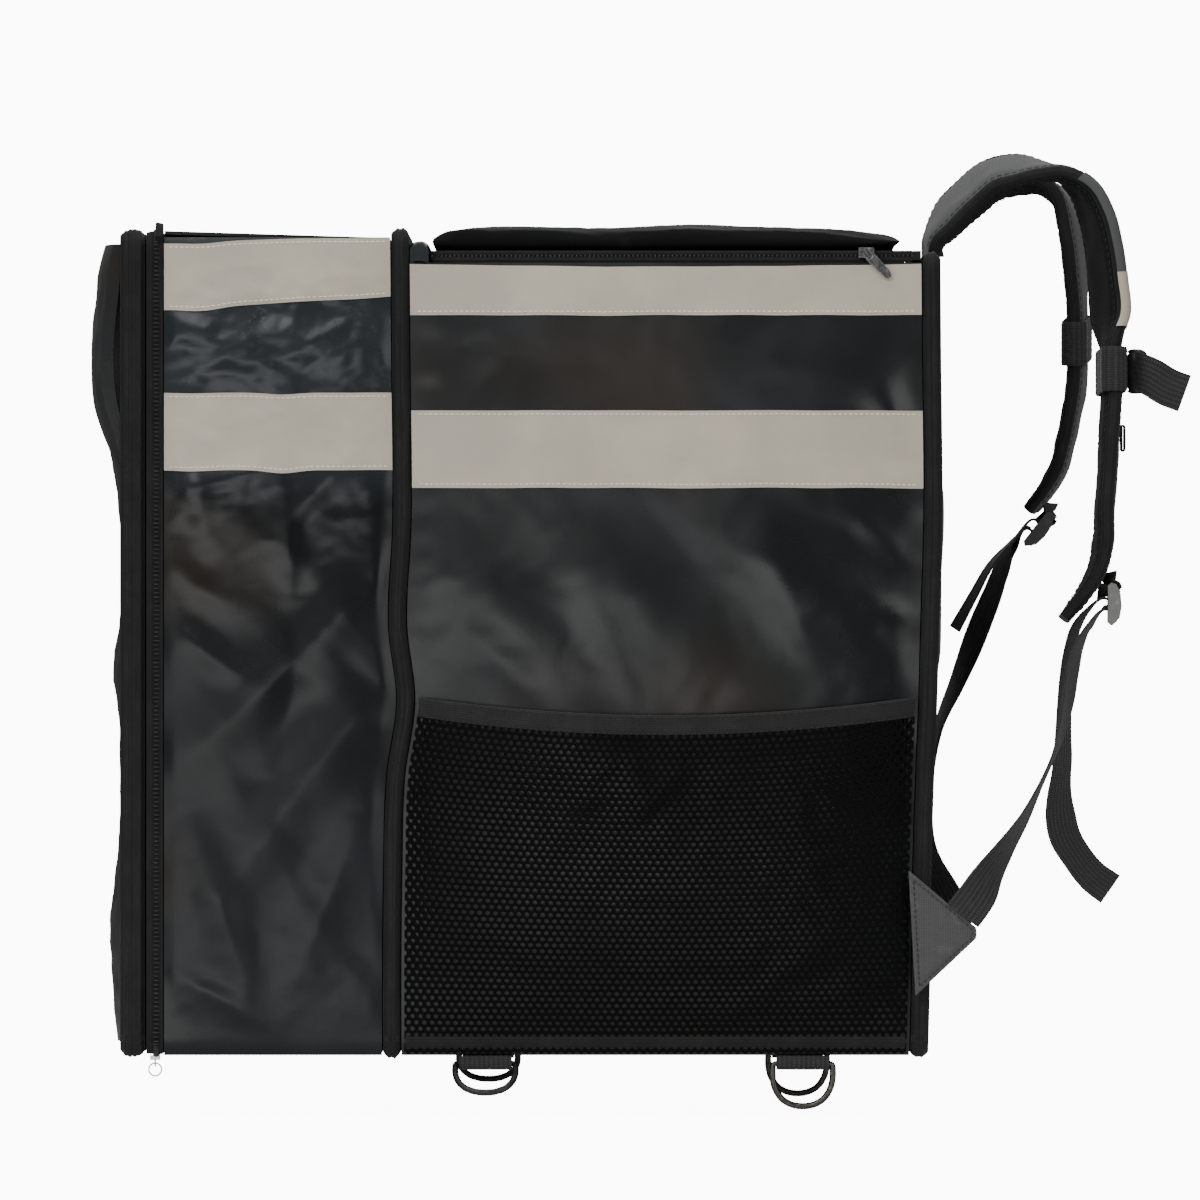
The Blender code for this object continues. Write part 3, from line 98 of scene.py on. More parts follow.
# Stitches: from one to the next, and the thread's thickness.
PALE_STITCH = (0.0034, 0.00095)
DARK_STITCH = (0.0036, 0.0006)
STRAP_STITCH = (0.0050, 0.0007)
STITCH_HALF = 0.36
TAPE_FACE = 0.0011
TAPE_ROW = 0.0024

# A strap's bound edge: its reach, wall and share of the strap's wall, and how it is rounded and set in.
STRAP_EDGE = 0.14
BOUND_REACH = 0.0052
BOUND_WALL = 0.0011
BOUND_TALL = 0.26
BOUND_ROUND = 0.62
BOUND_INSET = 0.55
BOUND_CUT = 0.96

# Cloth simulation of the padded pieces.
SWELL_PRESSURE = 4.0
SWELL_FRAMES = 20

SEAM_HEIGHTS = (0.0, 0.10, 0.22, 0.34, 0.43, 0.52, 0.64, 0.85, 1.0)
BACK_DRIFT = (-0.97, -0.81, -0.73, -0.48, -0.24, -0.08, 0.16, 0.08, 0.0)
MIDDLE_DRIFT = (-0.73, -0.73, -0.65, -0.40, 0.40, -0.25, 0.08, 0.0, -0.08)


class Side(Enum):
    """The bag's two sides, by the sign of Y."""

    NEAR = -1
    FAR = 1

    @property
    def label(self) -> str:
        """The side's name in a node's name."""
        return self.name.lower()


def smooth_curve(keys: Sequence[float], values: Sequence[float], at: Grid | float) -> Grid:
    """Reads a curve that runs smoothly through its rows.

    Args:
        keys: The rows' places, rising.
        values: The curve's value at each row.
        at: Where it is read.

    Returns:
        The values there, held level beyond both ends.
    """
    places, levels = np.asarray(keys, float), np.asarray(values, float)
    slopes = np.gradient(levels, places)
    held = np.clip(np.asarray(at, float), places[0], places[-1])
    index = np.clip(np.searchsorted(places, held, side="right") - 1, 0, len(places) - 2)
    width = places[index + 1] - places[index]
    t = (held - places[index]) / width
    a, b = levels[index], levels[index + 1]
    m, n = slopes[index] * width, slopes[index + 1] * width
    leaving, arriving = (t**3 - 2 * t**2 + t) * m, (t**3 - t**2) * n
    return (2 * t**3 - 3 * t**2 + 1) * a + leaving + (3 * t**2 - 2 * t**3) * b + arriving


def back_x(z: Grid | float) -> Grid:
    """The wandering line of the back edging's outer face."""
    return BACK_X + SEAM_DRIFT * smooth_curve(SEAM_HEIGHTS, BACK_DRIFT, (np.asarray(z) - LOW_Z) / HEIGHT)


def main_back_x(z: Grid | float) -> Grid:
    """The seam between the main side and the back edging."""
    return back_x(z) - BACK_EDGE


def main_front_x(z: Grid | float) -> Grid:
    """The seam between the main side and the middle edging."""
    return MAIN_FRONT_X + SEAM_DRIFT * smooth_curve(
        SEAM_HEIGHTS, MIDDLE_DRIFT, (np.asarray(z) - LOW_Z) / HEIGHT
    )


def expansion_back_x(z: Grid | float) -> Grid:
    """The seam between the expansion side and the middle edging."""
    return main_front_x(z) - MIDDLE_EDGE


def grain(x: Grid, y: Grid, seed: int) -> Grid:
    """Smooth noise from -1 to 1 over a plane, the same on each run.

    Args:
        x: First coordinate, one lump to a unit.
        y: Second coordinate.
        seed: Picks another pattern.

    Returns:
        The noise at each place.
    """
    x_cell, y_cell = np.floor(x).astype(np.int64), np.floor(y).astype(np.int64)
    x_part, y_part = x - x_cell, y - y_cell

    def push(dx: int, dy: int) -> Grid:
        n = ((x_cell + dx) * 374761393 + (y_cell + dy) * 668265263 + seed * 974634777) & 0xFFFFFFFF
        n = ((n ^ (n >> 13)) * 1274126177) & 0xFFFFFFFF
        angle = (n ^ (n >> 16)) / 0xFFFFFFFF * 2 * math.pi
        return np.cos(angle) * (x_part - dx) + np.sin(angle) * (y_part - dy)

    fade_x = x_part**3 * (x_part * (x_part * 6 - 15) + 10)
    fade_y = y_part**3 * (y_part * (y_part * 6 - 15) + 10)
    low = push(0, 0) * (1 - fade_x) + push(1, 0) * fade_x
    high = push(0, 1) * (1 - fade_x) + push(1, 1) * fade_x
    return 1.6 * (low * (1 - fade_y) + high * fade_y)


def crumple(x: Grid, y: Grid, size: float, seed: int, bend: float = 0.6) -> Grid:
    """Creased cloth: thin crests between soft hollows, about from -1 to 1.

    Args:
        x: Place along the first direction, in metres.
        y: Place along the second direction, in metres.
        size: How far apart the crests lie, in metres.
        seed: Picks another pattern.
        bend: How far the crests wander.

    Returns:
        The rise at each place, for a crest height of one.
    """
    u, v = x / size, y / size
    u2 = u + bend * grain(u * 0.7 + 5.2, v * 0.7, seed + 11)
    v2 = v + bend * grain(u * 0.7, v * 0.7 + 9.1, seed + 12)
    first = 1 - 2 * np.sqrt(grain(u2, v2, seed) ** 2 + 0.004)
    second = 1 - 2 * np.sqrt(grain(u2 * 1.9 + 3, v2 * 1.9, seed + 1) ** 2 + 0.006)
    return 0.68 * first + 0.32 * second


def grid_quads(rows: int, columns: int, start: int = 0) -> Grid:
    """The faces of a grid of points."""
    a = (np.arange(rows - 1)[:, None] * columns + np.arange(columns - 1)[None, :]).ravel() + start
    return np.stack([a, a + 1, a + columns + 1, a + columns], axis=1)


def unit(vectors: Grid) -> Grid:
    """Rows of vectors, each made one long."""
    return vectors / np.linalg.norm(vectors, axis=1, keepdims=True)


def bell(gap: Grid, width: float) -> Grid:
    """A soft bump of height one, from the distance to its middle."""
    return np.exp(-((gap / width) ** 2))


def run_along(points: Grid) -> Grid:
    """Each point's distance along its line."""
    return np.concatenate([[0.0], np.cumsum(np.linalg.norm(np.diff(points, axis=0), axis=1))])


def read_line(points: Grid, run: Grid, marks: Grid) -> Grid:
    """The rows of a line, read at distances along it."""
    return np.stack([np.interp(marks, run, points[:, axis]) for axis in range(3)], axis=1)


def resample(points: Grid, pitch: float) -> Grid:
    """Evenly spaced points along a line of points."""
    run = run_along(points)
    return read_line(points, run, np.linspace(0.0, run[-1], max(2, int(run[-1] / pitch))))


def facing(side: Side, count: int) -> Grid:
    """A side's outward direction, in so many rows."""
    return np.tile((0.0, float(side.value), 0.0), (count, 1))


def level_seam(x: float) -> Callable[[Grid], Grid]:
    """A seam that runs straight up at one place along X."""
    return lambda z: x + 0 * np.asarray(z)


def read_points(mesh: bpy.types.Mesh) -> Grid:
    """A mesh's points, one row each."""
    values = np.empty(len(mesh.vertices) * 3)
    mesh.vertices.foreach_get("co", values)
    return values.reshape(-1, 3)


def write_points(mesh: bpy.types.Mesh, points: Grid) -> None:
    """Moves a mesh's points."""
    mesh.vertices.foreach_set("co", np.ascontiguousarray(points, float).ravel())
    mesh.update()


class Piece:
    """One named mesh of the bag, with what it stands for."""

    def __init__(
        self, name: str, points: Grid, faces: Sequence, materials: Sequence, picks: Grid | None = None
    ):
        """Makes the mesh.

        Args:
            name: The piece's name.
            points: Its points, one row each.
            faces: Its faces, as rows of point numbers.
            materials: Its materials, in order.
            picks: Which material each face has, if it has several.
        """
        mesh = bpy.data.meshes.new(name)
        mesh.from_pydata(
            np.asarray(points, float).tolist(), [], [list(dict.fromkeys(map(int, face))) for face in faces]
        )
        for material in materials:
            mesh.materials.append(material)
        if picks is not None:
            mesh.polygons.foreach_set("material_index", np.asarray(picks, np.int32))
        shape = bmesh.new()
        shape.from_mesh(mesh)
        bmesh.ops.recalc_face_normals(shape, faces=shape.faces)
        shape.to_mesh(mesh)
        shape.free()
        mesh.shade_smooth()
        mesh.set_sharp_from_angle(angle=math.radians(52))
        self.obj = bpy.data.objects.new(name, mesh)
        bpy.context.scene.collection.objects.link(self.obj)

    def lay(self, values: Grid) -> "Piece":
        """Stores each point's place in the cloth, in metres: across, along and which face."""
        layer = self.obj.data.attributes.new("cloth", "FLOAT_VECTOR", "POINT")
        layer.data.foreach_set("vector", np.asarray(values, np.float32).ravel())
        return self

    def place(self, slot: str, *nodes: str) -> "Piece":
        """Fixes the piece to the bag, in place of the named nodes.

        Args:
            slot: A material slot's name; not used.
            nodes: The nodes that it stands for.

        Returns:
            The piece.
        """
        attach(self.obj, BODY)
        if nodes:
            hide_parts(*nodes)
        LOG.info("%s: %d faces", self.obj.name, len(self.obj.data.polygons))
        return self

    def stretched(self, width: float, length: float, rests_on: Sequence[str]) -> "Piece":
        """Returns the piece unchanged."""
        return self

    def swollen(
        self,
        voxel: float,
        cap: float,
        held: Callable[[Grid], Grid],
        lay: Callable[[Grid], Grid],
        press: Callable[[Grid], Grid],
    ) -> "Piece":
        """Swells the padding with Blender's cloth simulation and takes the result as its mesh.

        Args:
            voxel: Size of the grid that the mesh is remade on.
            cap: How far a point may move.
            held: Gives how firmly each point is sewn down, from 0 to 1.
            lay: Gives each point's place in the cloth.
            press: Moves the points of the result into their seams and creases.

        Returns:
            The piece.
        """
        materials = list(self.obj.data.materials)
        self.remake("REMESH", {"mode": "VOXEL", "voxel_size": voxel})
        start = read_points(self.obj.data)
        sewn = self.obj.vertex_groups.new(name="sewn")
        for index, value in enumerate(held(start)):
            sewn.add([index], float(value), "REPLACE")
        cloth = self.obj.modifiers.new("swelling", "CLOTH")
        cloth.settings.use_pressure = True
        cloth.settings.uniform_pressure_force = SWELL_PRESSURE
        cloth.settings.vertex_group_mass = "sewn"
        cloth.settings.effector_weights.gravity = 0.0
        for step in range(1, SWELL_FRAMES + 1):
            bpy.context.scene.frame_set(step)
        swelled = self.obj.evaluated_get(bpy.context.evaluated_depsgraph_get())
        move = read_points(swelled.data) - start
        self.obj.modifiers.clear()
        bpy.context.scene.frame_set(1)
        far = np.linalg.norm(move, axis=1, keepdims=True)
        write_points(self.obj.data, start + move * np.minimum(1.0, cap / np.maximum(far, 1e-9)))
        self.remake("SUBSURF", {"levels": 1, "render_levels": 1})
        points = read_points(self.obj.data)
        self.lay(lay(points))
        write_points(self.obj.data, press(points))
        self.obj.data.materials.clear()
        for material in materials:
            self.obj.data.materials.append(material)
        self.obj.data.shade_smooth()
        return self

    def remake(self, kind: str, settings: dict) -> None:
        """Puts a modifier's result in place of the mesh."""
        modifier = self.obj.modifiers.new("remake", kind)
        for key, value in settings.items():
            setattr(modifier, key, value)
        graph = bpy.context.evaluated_depsgraph_get()
        mesh = bpy.data.meshes.new_from_object(self.obj.evaluated_get(graph))
        self.obj.modifiers.clear()
        self.obj.data = mesh

    def padded(self, fill: float) -> "Piece":
        """Returns the piece unchanged."""
        return self


def slab_piece(name: str, outer: Grid, inner: Grid, materials: Sequence, lay: Grid | None = None) -> Piece:
    """A sheet with a thickness, from two equal grids of points.

    Args:
        name: The piece's name.
        outer: The shown face, as rows of columns of points.
        inner: The hidden face.
        materials: The piece's materials.
        lay: Each outer point's place in the cloth, if the material needs it.

    Returns:
        The piece.
    """
    rows, columns = outer.shape[:2]
    count = rows * columns
    numbers = np.arange(count).reshape(rows, columns)
    rim = np.concatenate([numbers[0], numbers[1:, -1], numbers[-1, -2::-1], numbers[-2:0:-1, 0]])
    after = np.roll(rim, -1)
    sides = np.stack([after, rim, rim + count, after + count], axis=1)
    faces = np.concatenate([grid_quads(rows, columns), grid_quads(rows, columns, count)[:, ::-1], sides])
    piece = Piece(name, np.concatenate([outer.reshape(-1, 3), inner.reshape(-1, 3)]), faces, materials)
    if lay is not None:
        flat = lay.reshape(-1, 3)
        piece.lay(np.concatenate([flat, flat]))
    return piece


def loft_piece(
    name: str,
    sections: Sequence,
    materials: Sequence,
    looped: bool = False,
    lay: Sequence | None = None,
    picks: Callable[[int], int] | None = None,
) -> Piece:
    """A skin over rings of points, closed into a loop or capped at both ends.

    Args:
        name: The piece's name.
        sections: The rings, as rows of points.
        materials: The piece's materials.
        looped: Whether the last ring joins the first.
        lay: Each point's place in the cloth.
        picks: Gives a face's material from its number in the ring.

    Returns:
        The piece.
    """
    sections = np.asarray(sections)
    count, size = sections.shape[:2]
    firsts = np.arange(count if looped else count - 1)
    a = np.arange(size)
    b = (a + 1) % size
    faces, kinds = [], []
    for first in firsts:
        second = (first + 1) % count
        for i, j in zip(a, b):
            faces.append((first * size + i, first * size + j, second * size + j, second * size + i))
            kinds.append(picks(int(i)) if picks else 0)
    if not looped:
        faces.append(tuple(range(size))[::-1])
        faces.append(tuple(range((count - 1) * size, count * size)))
        kinds += [0, 0]
    piece = Piece(name, sections.reshape(-1, 3), faces, materials, np.array(kinds) if picks else None)
    if lay is not None:
        piece.lay(np.reshape(lay, (-1, 3)))
    return piece


def join_shapes(shapes: Sequence[tuple[Grid, Grid]]) -> tuple[Grid, Grid]:
    """Several small meshes as one: their points and their faces."""
    points, faces, start = [], [], 0
    for shape_points, shape_faces in shapes:
        points.append(shape_points)
        faces.append(shape_faces + start)
        start += len(shape_points)
    return np.concatenate(points), np.concatenate(faces)


def thread_shapes(starts: Grid, ends: Grid, outs: Grid, thick: float) -> tuple[Grid, Grid]:
    """Small rounded stitches, each sunk at both ends.

    Args:
        starts: Each stitch's first end.
        ends: Its other end.
        outs: The cloth's outward direction there.
        thick: The thread's thickness.

    Returns:
        The points and faces of all of them.
    """
    along = ends - starts
    sides = 6
    angles = np.arange(sides) * 2 * math.pi / sides
    across = unit(np.cross(along, outs))
    rings = (
        (-0.04, 0.12, -0.35), (0.12, 0.75, 0.1), (0.5, 1.0, 0.42), (0.88, 0.75, 0.1), (1.04, 0.12, -0.35)
    )
    points = []
    for share, girth, lift in rings:
        centre = starts + along * share + outs * (lift * thick)
        for angle in angles:
            turn = across * math.cos(angle) + outs * math.sin(angle)
            points.append(centre + turn * (girth * thick / 2))
    grid = np.stack(points, axis=1)
    faces = []
    for ring in range(len(rings) - 1):
        for side in range(sides):
            a, b = ring * sides + side, ring * sides + (side + 1) % sides
            faces.append((a, b, b + sides, a + sides))
    base = np.array(faces)
    count, size = grid.shape[:2]
    caps = np.array([[0, 5, 4, 3], [0, 3, 2, 1]])
    last = (len(rings) - 1) * sides
    base = np.concatenate([base, caps, last + np.array([[0, 1, 2, 3], [0, 3, 4, 5]])])
    whole = (base[None] + np.arange(count)[:, None, None] * size).reshape(-1, 4)
    return grid.reshape(-1, 3), whole


def stitch_piece(
    name: str, lines: Sequence[tuple[Grid, Grid]], pitch: float, thick: float, material: bpy.types.Material
) -> Piece:
    """Rows of stitches along lines on the cloth.

    Args:
        name: The piece's name.
        lines: Each line's points, close together, and its outward directions.
        pitch: From one stitch to the next.
        thick: The thread's thickness.
        material: The thread's material.

    Returns:
        The piece.
    """
    shapes = []
    for points, outs in lines:
        run = run_along(points)
        count = max(1, int(run[-1] / pitch))
        marks = (np.arange(count) + 0.5) * run[-1] / count
        starts, ends = (
            read_line(points, run, marks + half) for half in (-STITCH_HALF * pitch, STITCH_HALF * pitch)
        )
        shapes.append(thread_shapes(starts, ends, unit(read_line(outs, run, marks)), thick))
    points, faces = join_shapes(shapes)
    return Piece(name, points, faces, [material])


class Wire:
    """A shader value or colour in a node tree, with arithmetic that adds its nodes."""

    def __init__(self, tree: "Tree", socket: bpy.types.NodeSocket):
        """Holds a socket of a tree."""
        self.tree = tree
        self.socket = socket

    def _maths(self, kind: str, *values: "Wire | float") -> "Wire":
        """Adds a Math node over these values."""
        return self.tree.node("ShaderNodeMath", {"operation": kind}, dict(enumerate(values)))

    def __add__(self, other: "Wire | float") -> "Wire":
        """The sum."""
        return self._maths("ADD", self, other)

    __radd__ = __add__

    def __sub__(self, other: "Wire | float") -> "Wire":
        """The difference."""
        return self._maths("SUBTRACT", self, other)

    def __rsub__(self, other: "Wire | float") -> "Wire":
        """The difference the other way round."""
        return self._maths("SUBTRACT", other, self)

    def __mul__(self, other: "Wire | float") -> "Wire":
        """The product."""
        return self._maths("MULTIPLY", self, other)

    __rmul__ = __mul__

    def sine(self) -> "Wire":
        """The sine."""
        return self._maths("SINE", self)

    def blend(self, low: "Wire | Colour", high: "Wire | Colour") -> "Wire":
        """A colour from low to high as this goes from 0 to 1."""
        return self.tree.node(
            "ShaderNodeMix", {"data_type": "RGBA"}, {"Factor": self, 6: low, 7: high}, 2
        )

    def ramp(self, low: float, high: float, to_low: float, to_high: float) -> "Wire":
        """This, smoothly carried from one range to another."""
        values = {"Value": self, "From Min": low, "From Max": high, "To Min": to_low, "To Max": to_high}
        return self.tree.node("ShaderNodeMapRange", {"interpolation_type": "SMOOTHSTEP"}, values)


class Tree:
    """A material's node tree, with one way to add a node."""

    def __init__(self, name: str):
        """Makes a material with this name."""
        self.material = bpy.data.materials.new(name)
        self.material.use_nodes = True
        self.nodes = self.material.node_tree.nodes
        self.links = self.material.node_tree.links
        self.shader = self.nodes["Principled BSDF"]

    def node(self, kind: str, settings: dict, values: dict, output: int | str = 0) -> Wire:
        """Adds a node.

        Args:
            kind: The node's type.
            settings: Its settings, set first.
            values: Its sockets' values or links.
            output: The output that is returned.

        Returns:
            That output.
        """
        made = self.nodes.new(kind)
        for key, value in settings.items():
            setattr(made, key, value)
        for key, value in values.items():
            self.feed(made.inputs[key], value)
        return Wire(self, made.outputs[output])

    def feed(self, socket: bpy.types.NodeSocket, value: "Wire | float | Colour") -> None:
        """Links or sets one socket."""
        if isinstance(value, Wire):
            self.links.new(value.socket, socket)
        elif isinstance(value, tuple) and len(socket.default_value) == 4:
            socket.default_value = (*value, 1.0)
        else:
            socket.default_value = value

    def coordinates(self) -> Wire:
        """The place in the object's own frame, in metres."""
        return self.node("ShaderNodeTexCoord", {}, {}, "Object")

    def cloth(self) -> Wire:
        """The place in the cloth: across, along, face."""
        return self.node("ShaderNodeAttribute", {"attribute_name": "cloth"}, {}, "Vector")

    def parts(self, vector: Wire) -> tuple[Wire, Wire, Wire]:
        """A vector's three numbers."""
        made = self.nodes.new("ShaderNodeSeparateXYZ")
        self.links.new(vector.socket, made.inputs[0])
        return tuple(Wire(self, made.outputs[i]) for i in range(3))

    def noise(self, at: Wire, scale: float, detail: float = 3.0, rough: float = 0.55) -> Wire:
        """Soft noise, about 0.5."""
        values = {"Vector": at, "Scale": scale, "Detail": detail, "Roughness": rough}
        return self.node("ShaderNodeTexNoise", {"noise_dimensions": "3D"}, values, 0)

    def weave(self, u: Wire, v: Wire, pitch_u: float, pitch_v: float) -> Wire:
        """Threads over and under each other, from 0 to 1."""
        first = (u * (math.pi / pitch_u)).sine()
        second = (v * (math.pi / pitch_v)).sine()
        return first * second * 0.5 + 0.5

    def bump(self, height: Wire, distance: float, strength: float = 1.0) -> Wire:
        """A normal from a height."""
        return self.node(
            "ShaderNodeBump", {}, {"Height": height, "Distance": distance, "Strength": strength}, 0
        )

    def dress(self, varying: dict, fixed: dict) -> bpy.types.Material:
        """Feeds the shader.

        Args:
            varying: Sockets that change over the surface.
            fixed: Sockets with one value.

        Returns:
            The material.
        """
        for key, value in {**fixed, **varying}.items():
            self.feed(self.shader.inputs[key], value)
        return self.material


@dataclass(frozen=True)
class Tarpaulin:
    """Glossy coated cloth with its base weave showing through. With pale set, painted highlights lighten its
    colour above a height: speckled glint spots and a paler upper part.
    """

    colour: Colour = (0.0050, 0.0056, 0.0066)
    warm: Colour = (0.0135, 0.0092, 0.0048)
    cool: Colour = (0.0085, 0.0110, 0.0140)
    roughness: float = 0.27
    specular: float = 0.40
    coat: float = 0.06
    # pale: share of painted highlight mixed into the colour above about z = 0.1, standing for light caught by
    # crumpled facets.
    pale: float = 0.0

    def material(self, name: str = "tarpaulin") -> bpy.types.Material:
        """Makes the material."""
        tree = Tree(name)
        at = tree.coordinates()
        x, _, z = tree.parts(at)
        broad = tree.noise(at, 7.0, 2.0)
        other = tree.noise(at, 4.3, 1.0)
        fine = tree.noise(at, 120.0, 4.0)
        weave = tree.weave(x, z, 0.0011, 0.0011)
        scuffs = tree.noise(at, 46.0, 5.0, 0.7)
        tint = broad.ramp(0.52, 0.68, 0.0, 1.0).blend(self.colour, self.cool)
        tint = other.ramp(0.50, 0.64, 0.0, 0.85).blend(tint, self.warm)
        tint = scuffs.ramp(0.60, 0.78, 0.0, 0.16).blend(tint, (0.04, 0.04, 0.04))
        # Painted highlights: speckled glint spots, brighter where the broad noise is high. They are blended
        # into the base colour from nothing at z = 0.085 to the full share at z = 0.12 and above, where the
        # crumpled facets would catch the light.
        if self.pale:
            glint_speckle = tree.noise(at, 170.0, 6.0, 0.75) * 0.5 + scuffs * 0.5
            glints = glint_speckle.ramp(0.53, 0.66, 0.0, 1.0) * broad.ramp(0.42, 0.60, 0.25, 1.0)
            cloth = glints.blend((0.020, 0.025, 0.029), (0.105, 0.115, 0.120))
            tint = z.ramp(0.085, 0.120, 0.0, self.pale).blend(tint, cloth)
        height = weave * 0.16 + fine * 0.35 + scuffs * 0.6
        gloss = broad.ramp(0.3, 0.7, self.roughness - 0.04, self.roughness + 0.10)
        return tree.dress(
            {
                "Base Color": tint,
                "Roughness": gloss + scuffs * 0.06,
                "Normal": tree.bump(height, 0.00022, 0.55),
            },
            {"Specular IOR Level": self.specular, "Coat Weight": self.coat, "Coat Roughness": 0.22},
        )


@dataclass(frozen=True)
class ReflectiveTape:
    """Beige-grey reflective cloth tape with fine beads."""

    colour: Colour = (0.520, 0.462, 0.372)
    dark: Colour = (0.455, 0.404, 0.326)

    def material(self) -> bpy.types.Material:
        """Makes the material."""
        tree = Tree("reflective_tape")
        at = tree.coordinates()
        x, _, z = tree.parts(at)
        cloud = tree.noise(at, 16.0, 4.0, 0.6)
        beads = tree.noise(at, 900.0, 2.0, 0.6)
        weave = tree.weave(x, z, 0.0007, 0.0007)
        tint = cloud.ramp(0.38, 0.66, 0.0, 1.0).blend(self.dark, self.colour)
        tint = (beads * weave).ramp(0.28, 0.5, 0.0, 0.25).blend(tint, (0.62, 0.57, 0.48))
        return tree.dress(
            {
                "Base Color": tint,
                "Roughness": cloud.ramp(0.35, 0.65, 0.46, 0.58),
                "Normal": tree.bump(beads * 0.6 + weave * 0.4 + cloud * 0.8, 0.0002, 0.5),
            },
            {"Sheen Weight": 0.15, "Sheen Roughness": 0.4},
        )


@dataclass(frozen=True)
class RibbedCloth:
    """Woven cloth with ribs: bindings, webbing, elastic and strap covers."""

    name: str
    colour: Colour
    light: Colour
    rib: float
    thread: float
    depth: float = 0.00030
    roughness: float = 0.78
    sheen: float = 0.15

    def material(self) -> bpy.types.Material:
        """Makes the material from the place in the cloth: ribs run along it."""
        tree = Tree(self.name)
        at = tree.cloth()
        across, along, _ = tree.parts(at)
        ribs = (across * (2 * math.pi / self.rib)).sine()
        threads = (along * (2 * math.pi / self.thread) + ribs * 1.2).sine()
        wear = tree.noise(tree.coordinates(), 60.0, 4.0, 0.65)
        height = ribs * 0.3 + threads * 0.3 + 0.5
        tint = height.ramp(0.15, 1.0, 0.0, 1.0).blend(self.colour, self.light)
        tint = wear.ramp(0.55, 0.8, 0.0, 0.35).blend(tint, tuple(min(1.0, c * 1.8) for c in self.light))
        return tree.dress(
            {
                "Base Color": tint,
                "Roughness": wear.ramp(0.3, 0.7, self.roughness - 0.06, self.roughness + 0.08),
                "Normal": tree.bump(height + wear * 0.25, self.depth, 0.8),
            },
            {"Sheen Weight": self.sheen, "Sheen Roughness": 0.45, "Specular IOR Level": 0.4},
        )


@dataclass(frozen=True)
class KnittedCloth:
    """Knitted cloth with small round holes: the pad, the strap's inner side and the pockets."""

    name: str
    colour: Colour
    light: Colour
    pitch: float
    holes: bool = True
    sheen: float = 0.2
    specular: float = 0.3

    def material(self) -> bpy.types.Material:
        """Makes the material from the place in the cloth."""
        tree = Tree(self.name)
        u, v, _ = tree.parts(tree.cloth())
        first = (u * (2 * math.pi / self.pitch) + v * (2 * math.pi / self.pitch)).sine()
        second = (u * (2 * math.pi / self.pitch) - v * (2 * math.pi / self.pitch)).sine()
        cells = (first * second).ramp(0.10, 0.75, 1.0, 0.0)
        fuzz = tree.noise(tree.coordinates(), 700.0, 2.0)
        height = (cells * 0.8 + fuzz * 0.3) if self.holes else fuzz * 0.8
        tint = height.ramp(0.2, 1.0, 0.0, 1.0).blend(self.colour, self.light)
        return tree.dress(
            {
                "Base Color": tint,
                "Roughness": fuzz.ramp(0.3, 0.7, 0.80, 0.92),
                "Normal": tree.bump(height, 0.0005, 0.8),
            },
            {"Sheen Weight": self.sheen, "Sheen Roughness": 0.5, "Specular IOR Level": self.specular},
        )


@dataclass(frozen=True)
class Hard:
    """Moulded plastic, thread or plated metal with small marks of use."""

    name: str
    colour: Colour
    worn: Colour
    roughness: float
    metallic: float = 0.0
    marks: float = 260.0

    def material(self) -> bpy.types.Material:
        """Makes the material."""
        tree = Tree(self.name)
        at = tree.coordinates()
        cloud = tree.noise(at, self.marks, 5.0, 0.65)
        fine = tree.noise(at, self.marks * 6, 2.0, 0.5)
        tint = cloud.ramp(0.52, 0.74, 0.0, 0.8).blend(self.colour, self.worn)
        return tree.dress(
            {
                "Base Color": tint,
                "Roughness": cloud.ramp(0.35, 0.7, self.roughness - 0.07, self.roughness + 0.12),
                "Normal": tree.bump(cloud * 0.5 + fine * 0.5, 0.00006, 0.5),
            },
            {"Metallic": self.metallic, "Specular IOR Level": 0.5},
        )


